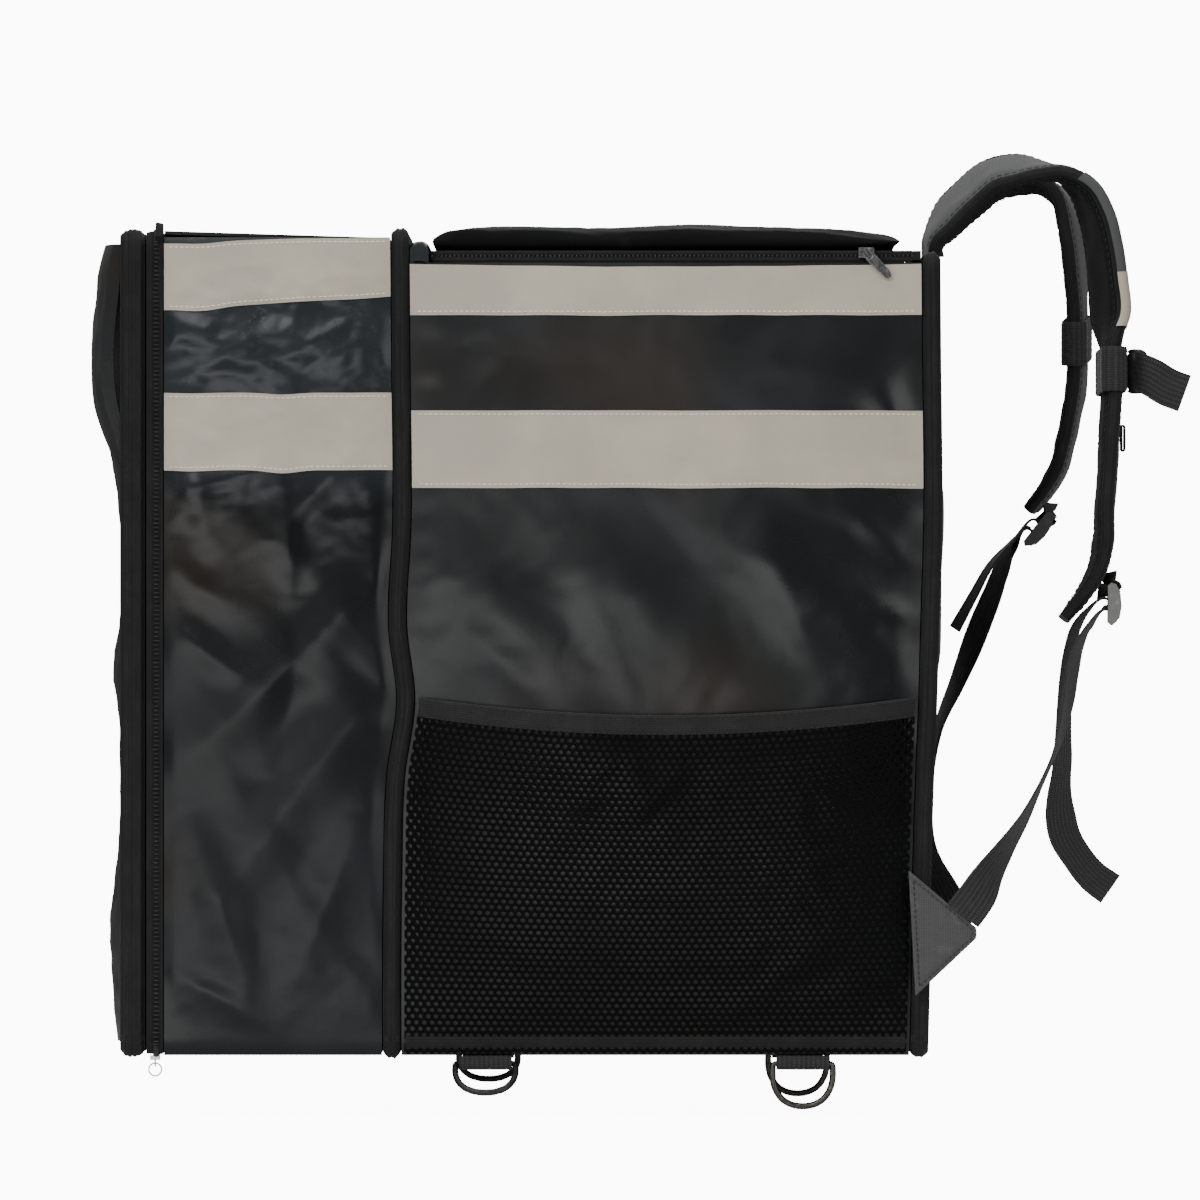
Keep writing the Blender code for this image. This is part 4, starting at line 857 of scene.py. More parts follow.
class Finishes:
    """Every finish of the bag, each made once."""

    def __init__(self) -> None:
        """Makes the materials."""
        self.tarpaulin = Tarpaulin().material()
        # Tarpaulin for the thin expansion walls and the lid rim, with painted highlights (glint spots and a
        # paler colour) above about z = 0.1.
        self.crumpled = Tarpaulin(
            specular=0.30, coat=0.03, roughness=0.25, pale=0.85
        ).material("crumpled_tarpaulin")
        # The lid's black cloth, made darker than the other tarpaulins: partly its own black, partly painted
        # shade.
        self.lid_cloth = Tarpaulin(
            (0.0016, 0.0016, 0.0018), (0.0030, 0.0028, 0.0025), (0.0028, 0.0030, 0.0034), 0.72, 0.16, 0.0
        ).material("lid_cloth")
        self.tape = ReflectiveTape().material()
        self.binding = RibbedCloth(
            "edging", (0.0022, 0.0022, 0.0024), (0.0085, 0.0085, 0.009), 0.0021, 0.0012, sheen=0.06
        ).material()
        self.zip_cloth = RibbedCloth(
            "zip_cloth", (0.0025, 0.0025, 0.003), (0.007, 0.007, 0.0075), 0.0011, 0.0011, sheen=0.03
        ).material()
        self.elastic = RibbedCloth(
            "elastic", (0.0055, 0.0055, 0.006), (0.015, 0.015, 0.016), 0.0016, 0.0018
        ).material()
        self.webbing = RibbedCloth(
            "webbing", (0.012, 0.012, 0.013), (0.034, 0.034, 0.036), 0.0031, 0.0016, 0.0004
        ).material()
        self.strap_cloth = RibbedCloth(
            "strap_cloth", (0.050, 0.051, 0.052), (0.105, 0.106, 0.108), 0.0014, 0.0014
        ).material()
        self.anchor_cloth = RibbedCloth(
            "anchor_cloth", (0.052, 0.052, 0.052), (0.088, 0.088, 0.088), 0.0011, 0.0011
        ).material()
        self.spacer = KnittedCloth(
            "spacer", (0.0015, 0.0015, 0.0015), (0.009, 0.009, 0.010), 0.0042, sheen=0.05, specular=0.15
        ).material()
        self.pad = KnittedCloth("back_mesh", (0.020, 0.025, 0.031), (0.060, 0.070, 0.082), 0.0042).material()
        self.net = KnittedCloth(
            "net", (0.0010, 0.0010, 0.0012), (0.0042, 0.0042, 0.0048), 0.0012, holes=False, sheen=0.02,
            specular=0.12,
        ).material()
        self.thread = Hard("pale_thread", (0.90, 0.84, 0.71), (0.78, 0.72, 0.60), 0.72).material()
        self.dark_thread = Hard("dark_thread", (0.022, 0.022, 0.023), (0.05, 0.05, 0.05), 0.72).material()
        self.black_plastic = Hard(
            "black_plastic", (0.008, 0.008, 0.0085), (0.030, 0.030, 0.032), 0.42
        ).material()
        self.grey_plastic = Hard("grey_plastic", (0.17, 0.17, 0.165), (0.27, 0.27, 0.26), 0.40).material()
        # A darker copy of the grey plastic for the far ladder lock: painted shade, since it is the same
        # plastic as the near lock.
        self.dull_plastic = Hard("dull_plastic", (0.040, 0.040, 0.041), (0.10, 0.10, 0.10), 0.42).material()
        self.coil = Hard("zip_coil", (0.010, 0.010, 0.011), (0.04, 0.04, 0.042), 0.38).material()
        self.dark_metal = Hard("dark_metal", (0.075, 0.072, 0.060), (0.26, 0.25, 0.22), 0.34, 1.0).material()
        self.gun_metal = Hard("gun_metal", (0.20, 0.20, 0.205), (0.42, 0.42, 0.42), 0.28, 1.0).material()
        self.bright_metal = Hard("bright_metal", (0.52, 0.52, 0.53), (0.80, 0.80, 0.80), 0.22, 1.0).material()


@dataclass(frozen=True)
class Crease:
    """A fold between two places, given as shares across and up its panel; width and rise in metres."""

    start: tuple[float, float]
    end: tuple[float, float]
    width: float
    rise: float
    crisp: float = 0.0

    def height(self, across: Grid, up: Grid, size: tuple[float, float]) -> Grid:
        """The fold's rise at each place.

        Args:
            across: Share of the panel's depth.
            up: Share of the panel's height.
            size: The panel's depth and height.

        Returns:
            The rise, fading towards the fold's ends.
        """
        a = np.array(self.start) * size
        b = np.array(self.end) * size
        way = b - a
        x, z = across * size[0] - a[0], up * size[1] - a[1]
        share = np.clip((x * way[0] + z * way[1]) / (way @ way), 0.0, 1.0)
        gap = np.hypot(x - share * way[0], z - share * way[1]) / self.width
        soft = np.exp(-(gap**2))
        sharp = np.exp(-1.6 * gap) * 1.1
        taper = 0.25 + 0.75 * np.sin(np.clip(share, 0.02, 0.98) * math.pi) ** 0.7
        return self.rise * taper * (soft * (1 - self.crisp) + sharp * self.crisp)


@dataclass(frozen=True)
class Tape:
    """A reflective tape: its lower and upper edge, and which of its edges show stitches."""

    name: str
    low: float
    high: float
    rows: tuple[str, ...] = ("low", "high")
    sag: float = 0.0
    droop: float = 0.0
    dips: tuple[tuple[float, float, float], ...] = ()


@dataclass
class SideWall:
    """One section's two side walls with their tapes."""

    name: str
    front: Callable[[Grid], Grid]
    back: Callable[[Grid], Grid]
    low: float
    high: float
    belly: float
    wall: float
    creases: tuple[Crease, ...]
    tapes: tuple[Tape, ...]
    pitch: float
    crumples: Callable[[float, Grid, Grid, float], Grid]
    proud: float = 0.001
    tuck: float = 0.002

    @property
    def size(self) -> tuple[float, float]:
        """The panel's depth and height."""
        middle = (self.low + self.high) / 2
        return float(self.back(middle) - self.front(middle)), self.high - self.low

    def out(self, across: Grid, z: Grid, side: Side = Side.NEAR) -> Grid:
        """How far the cloth stands out from the body's middle."""
        up = (z - self.low) / (self.high - self.low)
        swell = (1 - (2 * across - 1) ** 4) * (1 - (2 * up - 1) ** 4)
        edge = np.minimum(z - LOW_Z, TOP_Z - z)
        tuck = self.tuck * np.maximum(0.0, 1 - edge / EDGE_ROUND) ** 2
        folds = sum(crease.height(across, up, self.size) for crease in self.creases)
        fade = np.clip(22 * across * (1 - across), 0, 1) * np.clip(16 * up * (1 - up), 0, 1)
        fine = self.crumples(self.size[0], across, z, 0.0 if side is Side.NEAR else FAR_SHIFT)
        return SIDE_Y - self.proud - tuck + self.belly * swell + (folds + fine) * fade

    def points(self, side: Side, across: Grid, z: Grid, lift: float | Grid) -> Grid:
        """Places on the cloth.

        Args:
            side: Which side.
            across: Share of the way from the front seam to the back seam.
            z: Height.
            lift: Distance off the cloth.

        Returns:
            The points, in the shape of the arguments.
        """
        front = self.front(z) + SEAM_GAP / 2
        back = self.back(z) - SEAM_GAP / 2
        x = front + (back - front) * across
        return np.stack([x, side.value * (self.out(across, z, side) + lift), z], axis=-1)

    def sheet(
        self, name: str, side: Side, low: Grid | float, high: Grid | float, lifts: tuple, materials: Sequence
    ) -> Piece:
        """A slab that follows the wall between two heights, which may change across it.

        Args:
            name: The piece's name.
            side: Which side.
            low: Lower edge at each column, or one height.
            high: Upper edge.
            lifts: Distance off the wall of its outer and inner face.
            materials: Its materials.

        Returns:
            The piece.
        """
        columns = int(self.size[0] / self.pitch) + 1
        tall = float(np.max(high) - np.min(low))
        rows = max(3, int(tall / self.pitch) + 1)
        across = np.linspace(0.0, 1.0, columns)
        share = np.linspace(0.0, 1.0, rows)[:, None]
        lows, highs = (np.broadcast_to(edge, (1, columns)) for edge in (low, high))
        z = lows * (1 - share) + highs * share
        spots = np.broadcast_to(across, z.shape)
        outer = self.points(side, spots, z, lifts[0])
        inner = self.points(side, spots, z, lifts[1])
        return slab_piece(name, outer, inner, materials)

    def build(self, finishes: Finishes) -> None:
        """Makes both walls, their tapes and the tapes' stitches."""
        foamed = self.wall > THINNEST_FOAM
        cloth = finishes.tarpaulin if foamed else finishes.crumpled
        for side in Side:
            node = f"{self.name}_side_{side.label}"
            wall = self.sheet(
                f"{self.name}_wall_{side.label}", side, self.low, self.high, (0.0, -self.wall), [cloth]
            )
            wall.place("tarpaulin", node)
            if foamed:
                wall.padded(0.3)
            else:
                wall.stretched(self.size[0], self.size[1], ["middle_edging"])
            for tape in self.tapes:
                self.build_tape(tape, side, finishes, wall.obj.name)

    def build_tape(self, tape: Tape, side: Side, finishes: Finishes, under: str) -> None:
        """One tape and its rows of stitches."""
        columns = int(self.size[0] / self.pitch) + 1
        across = np.linspace(0.0, 1.0, columns)
        seed = 3 if side is Side.NEAR else 31
        wander = 0.0006 * grain(across * self.size[0] / 0.05, across * 0 + tape.low * 9, seed)
        sag = tape.sag * np.sin(across * math.pi)
        dips = sum(depth * bell(across - place, width) for place, width, depth in tape.dips)
        low = tape.low + wander - tape.droop * (1 - 1.9 * across) - dips
        high = tape.high + wander * 0.6 - sag - 0.8 * tape.droop * (1 - across) ** 2 - 0.6 * dips
        sheet = self.sheet(
            f"{self.name}_{tape.name}_reflector_{side.label}", side, low, high, (TAPE_FACE, LIE_GAP),
            [finishes.tape],
        )
        sheet.place("reflective_tape", f"{self.name}_{tape.name}_tape_{side.label}")
        sheet.stretched(self.size[0], tape.high - tape.low, [under])
        lines = []
        for row in tape.rows:
            edge = low + TAPE_ROW if row == "low" else high - TAPE_ROW
            points = self.points(side, across, edge, TAPE_FACE)
            lines.append((points[1:-1], facing(side, columns - 2)))
        name = f"{self.name}_{tape.name}_stitches_{side.label}"
        stitch_piece(name, lines, *PALE_STITCH, finishes.thread).place("reflective_tape")


def main_crumples(depth: float, across: Grid, z: Grid, shift: float) -> Grid:
    """The main wall's small dents: calm on its foam, gathered at its seams."""
    x = across * depth + 0.37 * shift
    calm = 0.00075 * crumple(x, z, 0.090, 5) + 0.00030 * crumple(x + 1, z, 0.034, 8)
    right = bell((1 - across) * depth, 0.020)
    left = bell(across * depth, 0.016)
    gathers = 0.0013 * grain(x / 0.05, z / 0.014, 21) * right + 0.0010 * grain(x / 0.04, z / 0.016, 22) * left
    return calm + gathers


def expansion_crumples(depth: float, across: Grid, z: Grid, shift: float) -> Grid:
    """The expansion wall's crumpled cloth: strong between its tapes, long folds below them."""
    x = across * depth + 0.41 * shift
    high = smooth_curve((-0.27, 0.10, 0.15, 0.20, 0.27), (0.30, 0.42, 0.80, 1.0, 0.8), z)
    fine = crumple(x, z * 1.5, 0.040, 14, 0.25) * 0.00130 + crumple(x + 2, z * 1.6, 0.015, 17, 0.2) * 0.00055
    fine = fine + 0.00016 * grain(x / 0.007, z / 0.0048, 18)
    slow = crumple(x + z * 0.5, z * 0.55, 0.075, 19, 0.4) * 0.0012
    under = bell(z - 0.093, 0.035) * (z < 0.111)
    puckers = 0.0008 * np.maximum(0.0, grain(x / 0.016, z / 0.06, 27)) * under
    gloss_strip = bell(z - 0.262, 0.006) * grain(x / 0.010, z / 0.006, 29) * 0.0006
    return fine * high + slow * (1.15 - high) + puckers + gloss_strip


def side_walls() -> tuple[SideWall, SideWall]:
    """The main and the expansion section's walls."""
    main = SideWall(
        "main", main_front_x, main_back_x, LOW_Z, TOP_Z - 0.0205, 0.007, 0.006,
        (
            Crease((0.05, 0.62), (0.30, 0.50), 0.024, 0.0032),
            Crease((0.30, 0.66), (0.62, 0.46), 0.028, 0.0040),
            Crease((0.62, 0.66), (0.92, 0.52), 0.026, 0.0036),
            Crease((0.20, 0.46), (0.50, 0.30), 0.032, 0.0024),
            Crease((0.90, 0.86), (0.97, 0.78), 0.014, 0.0028),
            Crease((0.34, 0.60), (0.44, 0.44), 0.011, 0.0014, 0.5),
            Crease((0.45, 0.70), (0.58, 0.60), 0.012, -0.0012, 0.3),
            Crease((0.70, 0.64), (0.80, 0.48), 0.012, 0.0014, 0.4),
            Crease((0.10, 0.55), (0.26, 0.44), 0.012, -0.0014, 0.3),
            Crease((0.55, 0.92), (0.90, 0.84), 0.016, 0.0012, 0.2),
            Crease((0.12, 0.88), (0.48, 0.85), 0.016, -0.0012, 0.2),
            Crease((0.86, 0.68), (0.99, 0.62), 0.009, 0.0016, 0.4),
            Crease((0.88, 0.58), (0.99, 0.55), 0.008, 0.0014, 0.4),
        ),
        (
            Tape("high", TOP_Z - 0.0545, TOP_Z - 0.0215, ("low",), 0.0016),
            Tape("low", TOP_Z - 0.166, TOP_Z - 0.116),
        ),
        0.0042,
        main_crumples,
    )
    expansion = SideWall(
        "expansion", level_seam(EXPANSION_FRONT_X), expansion_back_x, LOW_Z, TOP_Z - 0.0042, 0.003, 0.0025,
        (
            Crease((0.05, 0.90), (0.45, 0.83), 0.014, 0.0036),
            Crease((0.40, 0.88), (0.95, 0.86), 0.014, 0.0028),
            Crease((0.08, 0.725), (0.20, 0.62), 0.009, 0.0020, 0.3),
            Crease((0.50, 0.725), (0.56, 0.56), 0.009, 0.0021, 0.3),
            Crease((0.56, 0.66), (0.80, 0.73), 0.009, 0.0014, 0.3),
            Crease((0.05, 0.69), (0.46, 0.715), 0.008, 0.0014, 0.3),
            Crease((0.95, 0.58), (0.10, 0.36), 0.020, 0.0040, 0.2),
            Crease((0.95, 0.46), (0.15, 0.14), 0.022, 0.0042, 0.2),
            Crease((0.62, 0.56), (0.50, 0.34), 0.014, -0.0026, 0.2),
            Crease((0.10, 0.30), (0.40, 0.06), 0.014, 0.0036, 0.2),
            Crease((0.90, 0.30), (0.55, 0.05), 0.016, 0.0030, 0.2),
            Crease((0.05, 0.52), (0.35, 0.46), 0.012, 0.0022, 0.3),
            Crease((0.06, 0.10), (0.50, 0.03), 0.008, 0.0022, 0.4),
        ),
        (
            Tape("high", TOP_Z - 0.0465, TOP_Z - 0.0045, droop=0.0046, dips=((0.17, 0.11, 0.0022),)),
            Tape("low", TOP_Z - 0.1545, TOP_Z - 0.1045, dips=((0.52, 0.09, 0.0022), (0.12, 0.10, 0.0008))),
        ),
        0.0028,
        expansion_crumples,
    )
    return main, expansion


def rim_line(half_width: float, low: float, high: float, pitch: float) -> tuple[Grid, Grid, Grid]:
    """The way round the body seen along X, starting low on the near side.

    Args:
        half_width: Half the body's width.
        low: Lowest height.
        high: Highest height.
        pitch: From one place to the next.

    Returns:
        The places' Y, Z and outward directions as angles.
    """
    ys, zs, turns = [], [], []
    radius = EDGE_ROUND
    corners = (
        (-half_width + radius, low + radius, math.pi),
        (half_width - radius, low + radius, 1.5 * math.pi),
        (half_width - radius, high - radius, 0.0),
        (-half_width + radius, high - radius, 0.5 * math.pi),
    )
    for index, (y, z, start) in enumerate(corners):
        for step in range(CORNER_STEPS + 1):
            angle = start + step / CORNER_STEPS * math.pi / 2
            ys.append(y + radius * math.cos(angle))
            zs.append(z + radius * math.sin(angle))
            turns.append(angle)
        after = corners[(index + 1) % 4]
        first = np.array((ys[-1], zs[-1]))
        angle = after[2]
        last = np.array((after[0] + radius * math.cos(angle), after[1] + radius * math.sin(angle)))
        count = int(np.linalg.norm(last - first) / pitch)
        for step in range(1, count):
            spot = first + (last - first) * step / count
            ys.append(spot[0])
            zs.append(spot[1])
            turns.append(turns[-1])
    return np.array(ys), np.array(zs), np.array(turns)


@dataclass
class Edging:
    """A strip round the body between two seams."""

    node: str
    front: Callable[[Grid], Grid]
    back: Callable[[Grid], Grid]
    high: float
    slot: str
    outline: tuple[tuple[float, float], ...]
    ripple: float
    ripple_pitch: float
    seed: int
    peak: float = 0.0

    def build(self, name: str, material: bpy.types.Material) -> Piece:
        """Makes the strip.

        Args:
            name: The piece's name.
            material: Its material.

        Returns:
            The piece.
        """
        y, z, turn = rim_line(SIDE_Y, LOW_Z, self.high, EDGING_PITCH)
        steps = np.hypot(np.diff(y, append=y[0]), np.diff(z, append=z[0]))
        run = np.concatenate([[0.0], np.cumsum(steps)[:-1]])
        shares, lifts = np.array(self.outline).T
        start, end = self.front(z) + SEAM_GAP / 2, self.back(z) - SEAM_GAP / 2
        x = start[:, None] + (end - start)[:, None] * shares[None, :]
        wave = self.ripple * grain(run[:, None] / self.ripple_pitch, shares[None, :] * 2.5, self.seed)
        shown = lifts > -EDGE_WALL * 0.9
        rise = lifts[None, :] + np.where(shown[None, :], wave, 0.0)
        crown = (y < -SIDE_Y * 0.9) & (z > self.high - EDGE_ROUND * 0.8)
        rise = rise + self.peak * crown[:, None] * (shown & (shares > 0.55))[None, :]
        points = np.stack(
            [x, y[:, None] + np.cos(turn)[:, None] * rise, z[:, None] + np.sin(turn)[:, None] * rise], axis=-1
        )
        wide = float(np.mean(end - start))
        lay = np.stack([shares[None, :] * wide + 0 * x, run[:, None] + 0 * x, 0 * x], axis=-1)
        piece = loft_piece(name, points, [material], looped=True, lay=lay)
        return piece.place(self.slot, self.node)


def crowned(ridges: int, rise: float, soft: float, groove: float = 0.0) -> tuple[tuple[float, float], ...]:
    """A strip's cross-section: shares across it and lifts off the body.

    Args:
        ridges: How many ribs run along it.
        rise: Height of its crown.
        soft: How far its two edges turn in.
        groove: Depth of a groove along its back edge.

    Returns:
        The section's points.
    """
    rows = [(0.0, -EDGE_WALL), (1.0, -EDGE_WALL)]
    count = 6 * max(ridges, 3)
    for step in range(count, -1, -1):
        share = step / count
        round_off = 1 - abs(2 * share - 1) ** 3.2
        rib = 0.00035 * math.cos(2 * math.pi * ridges * share) if ridges else 0.0
        lift = -soft + (soft + rise) * round_off + rib * round_off
        if groove and share > 0.80:
            lift -= groove * math.sin((share - 0.80) / 0.20 * math.pi)
        rows.append((share, lift))
    return tuple(rows)


@dataclass
class Edges:
    """The strips that edge the bag's sections, and the front zip between two of them."""

    finishes: Finishes
    coil_offset: float = 0.0066
    coil_pitch: float = 0.0028

    def build(self) -> None:
        """Makes the strips and the zip's teeth."""
        binding, zip_cloth = self.finishes.binding, self.finishes.zip_cloth
        zip_front, zip_back = level_seam(ZIP_FRONT_X), level_seam(EXPANSION_FRONT_X)
        door_back = level_seam(ZIP_FRONT_X - LIE_GAP)
        back = crowned(3, 0.0012, 0.0024)
        middle = crowned(3, 0.0016, 0.0024)
        flat = crowned(0, -0.0004, 0.0010)
        front = crowned(5, 0.0010, 0.0030, 0.0035)
        rows = (
            (
                "back_binding", binding, "back_edging", main_back_x, back_x, BACK_TOP_Z, "edging", back,
                0.0007, 0.030, 51,
            ),
            (
                "middle_binding", binding, "middle_edging", expansion_back_x, main_front_x, TOP_Z, "edging",
                middle, 0.0009, 0.034, 52,
            ),
            (
                "front_zip_cloth", zip_cloth, "front_zip_tape", zip_front, zip_back, TOP_Z, "zip_cloth", flat,
                0.0004, 0.040, 53, 0.006,
            ),
            (
                "front_binding", binding, "front_edging", level_seam(FRONT_X), door_back, TOP_Z, "edging",
                front, 0.0008, 0.036, 54,
            ),
        )
        for name, material, *row in rows:
            Edging(*row).build(name, material)
        self.front_teeth()

    def front_teeth(self) -> None:
        """The zip's coil round the front."""
        y, z, turn = rim_line(SIDE_Y, LOW_Z, TOP_Z, self.coil_pitch)
        middle = ZIP_FRONT_X + self.coil_offset
        out = np.stack([0 * y, np.cos(turn), np.sin(turn)], axis=1)
        centre = np.stack([middle + 0 * y, y, z], axis=1) - out * 0.0001
        reach = np.array((0.0022, 0.0, 0.0))
        points, faces = thread_shapes(centre - reach, centre + reach, out, 0.0015)
        Piece("front_zip_coil", points, faces, [self.finishes.coil]).place("zip_cloth")


@dataclass
class Door:
    """The padded front door."""

    rows: tuple[tuple[float, float], ...] = (
        (0.00, 0.10), (0.06, 0.22), (0.164, 0.345), (0.225, 0.12), (0.32, 0.00), (0.40, 0.03), (0.473, 0.24),
        (0.53, 0.00), (0.60, -0.03), (0.70, 0.20), (0.735, 0.40), (0.79, 0.86), (0.84, 1.00), (0.92, 0.83),
        (0.98, 0.60), (1.00, 0.40),
    )
    wall: float = 0.008
    dome: float = 0.35
    rim: float = 0.7
    fade: float = 0.02
    pitch: float = 0.0048

    def build(self, finishes: Finishes) -> None:
        """Makes the door's crowned and dented cloth."""
        low, high = LOW_Z + EDGE_WALL + SEAM_GAP, TOP_Z - EDGE_WALL - SEAM_GAP
        half = SIDE_Y - EDGE_WALL - SEAM_GAP
        z = np.linspace(low, high, int((high - low) / self.pitch))[:, None]
        y = np.linspace(-half, half, int(2 * half / self.pitch))[None, :]
        proud = smooth_curve(*zip(*self.rows), (z - LOW_Z) / HEIGHT)
        rim = np.maximum(0.0, (np.abs(y) / half - self.rim) / (1 - self.rim)) ** 2
        yy, zz = np.broadcast_arrays(y, z)
        dents = 0.0016 * crumple(yy, zz, 0.055, 61) + 0.0011 * grain(yy / 0.03, zz / 0.02, 62)
        inside = np.minimum(1.0, (half - np.abs(y)) / self.fade)
        inside = inside * np.minimum(1.0, np.minimum(z - low, high - z) / self.fade)
        smooth = FRONT_X - DOOR_BULGE * proud + self.dome * DOOR_BULGE * rim
        outer = np.stack([smooth - np.abs(dents) * inside, yy, zz], axis=-1)
        inner = np.stack([smooth + self.wall, yy, zz], axis=-1)
        slab_piece(
            "front_door_cloth", outer, inner, [finishes.tarpaulin]
        ).place("tarpaulin", "front_door").padded(0.4)


FLAT = (0, 1)
UPRIGHT = (1, 2)


def plank(
    name: str,
    node: str,
    outer: Callable[[Grid, Grid], Grid],
    wall: float,
    span: tuple[int, int],
    pitch: float,
    material: bpy.types.Material,
    slot: str = "tarpaulin",
) -> Piece:
    """A flat panel between the corners of its node, with its shown face moved by a function.

    Args:
        name: The piece's name.
        node: The node that it stands for.
        outer: Gives the shown face's place along the panel's normal.
        wall: From the shown face to the hidden one, along the normal.
        span: Which two axes the panel spans.
        pitch: From one point to the next.
        material: Its material.
        slot: The record's material slot.

    Returns:
        The piece.
    """
    low, high = (np.array(corner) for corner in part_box(node))
    first, second = span
    normal = 3 - first - second
    u, v = (
        np.linspace(low[axis], high[axis], max(4, int((high[axis] - low[axis]) / pitch))) for axis in span
    )
    uu, vv = np.meshgrid(u, v)
    points = np.zeros((*uu.shape, 3))
    points[..., first], points[..., second] = uu, vv
    points[..., normal] = outer(uu, vv)
    back = points.copy()
    back[..., normal] += wall
    lay = np.stack([uu, vv, 0 * uu], axis=-1)
    return slab_piece(name, points, back, [material], lay).place(slot, node)


@dataclass
class FlatPanels:
    """The base, the top over the expansion, the back panel with its pad, and the lid's strip and rim."""

    finishes: Finishes

    def build(self) -> None:
        """Makes the panels."""
        tarp, binding, crumpled = self.finishes.tarpaulin, self.finishes.binding, self.finishes.crumpled
        bound = ["middle_binding"]
        plank("main_floor", "main_base", self.base, 0.0052, FLAT, 0.010, tarp)
        floor = plank("expansion_floor", "expansion_base", self.base, 0.0018, FLAT, 0.010, tarp)
        floor.stretched(0.146, 0.41, bound)
        plank(
            "expansion_roof", "expansion_top", self.roof, -0.0022, FLAT, 0.004, tarp
        ).stretched(0.146, 0.42, bound)
        plank("back_wall", "back_panel", self.back, -0.0045, UPRIGHT, 0.009, tarp).padded(0.3)
        self.build_pad()
        plank("lid_hinge_strip", "lid_back_strip", self.strip, -0.0060, FLAT, 0.0025, binding, "edging")
        plank("lid_rim", "top_rim", self.rim, -0.0095, FLAT, 0.0016, crumpled)

    def base(self, u: Grid, v: Grid) -> Grid:
        """The base's underside, a little dented."""
        return LOW_Z + 0.0006 + 0.0005 * crumple(u, v, 0.06, 71)

    def roof(self, u: Grid, v: Grid) -> Grid:
        """The expansion's top: it falls towards the back seam and is crumpled away from its sides."""
        low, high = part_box("expansion_top")
        share = (u - low[0]) / (high[0] - low[0])
        side = np.minimum(1.0, (high[1] - np.abs(v)) / 0.015)
        return TOP_Z - 0.0045 * share + side * 0.0016 * crumple(u, v, 0.035, 73) - side * 0.0012

    def back(self, u: Grid, v: Grid) -> Grid:
        """The back panel's shown face, set in from the edging."""
        set_in = 0.0065 - 0.002 + LIE_GAP
        return back_x(v) - set_in - 0.0004 - 0.0005 * (1 + crumple(u, v, 0.05, 74))

    def strip(self, u: Grid, v: Grid) -> Grid:
        """The strip that the lid hinges on."""
        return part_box("lid_back_strip")[1][2] - 0.0004 + 0.0003 * grain(u / 0.02, v / 0.01, 75)

    def rim(self, u: Grid, v: Grid) -> Grid:
        """The soft rim in front of the lid, falling off at its edges and ends."""
        low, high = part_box("top_rim")
        reach = np.minimum(u - low[0], high[0] - u)
        end = np.minimum(high[1] - np.abs(v), 0.012)
        fall = 0.0022 * np.maximum(0.0, 1 - reach / 0.004) ** 2 + 0.0030 * (1 - end / 0.012) ** 2
        return high[2] - 0.0006 - fall + 0.0007 * grain(u / 0.009, v / 0.012, 76)

    def build_pad(self) -> None:
        """The back's padded mesh, with three sewn channels, blown up a little under its cloth."""
        low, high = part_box("back_pad")
        half_y, mid_z, half_z = (high[1] - low[1]) / 2, (high[2] + low[2]) / 2, (high[2] - low[2]) / 2
        y = np.linspace(-half_y, half_y, 100)[None, :]
        z = np.linspace(-half_z, half_z, 52)[:, None]
        yy, zz = np.broadcast_arrays(y, z)
        edge = np.minimum(half_y - np.abs(yy), half_z - np.abs(zz))
        crown = 0.0056 * (1 - np.exp(-edge / 0.008))
        seams = sum(bell(yy - place, 0.0035) for place in (-PAD_SEAM_Y, PAD_SEAM_Y))
        x = back_x(zz + mid_z) - 0.0045 + crown * (1 - 0.55 * seams)
        outer = np.stack([x, yy, zz + mid_z], axis=-1)
        inner = np.stack([back_x(zz + mid_z) - 0.0046, yy, zz + mid_z], axis=-1)
        lay = np.stack([yy, zz, 0 * yy], axis=-1)
        pad = slab_piece("back_cushion", outer, inner, [self.finishes.pad], lay)

        def sewn(points: Grid) -> Grid:
            rim = np.minimum(half_y - np.abs(points[:, 1]), half_z - np.abs(points[:, 2] - mid_z))
            seam = np.abs(np.abs(points[:, 1]) - PAD_SEAM_Y)
            flat = points[:, 0] < back_x(points[:, 2]) - 0.0036
            return ((rim < 0.0045) | (seam < 0.0035) | flat).astype(float)

        def channels(points: Grid) -> Grid:
            depth = np.clip((points[:, 0] - back_x(points[:, 2]) + 0.0036) / 0.004, 0.0, 1.0)
            seam = bell(np.abs(points[:, 1]) - PAD_SEAM_Y, 0.0032)
            dents = 0.0004 * crumple(points[:, 1], points[:, 2], 0.04, 77)
            return points - np.outer(depth * (0.0022 * seam - dents * (1 - seam)), (1.0, 0.0, 0.0))
        pad.swollen(0.0048, 0.0050, sewn, lambda points: points[:, [1, 2, 2]] * (1.0, 1.0, 0.0), channels)
        pad.place("net", "back_pad").padded(0.6)


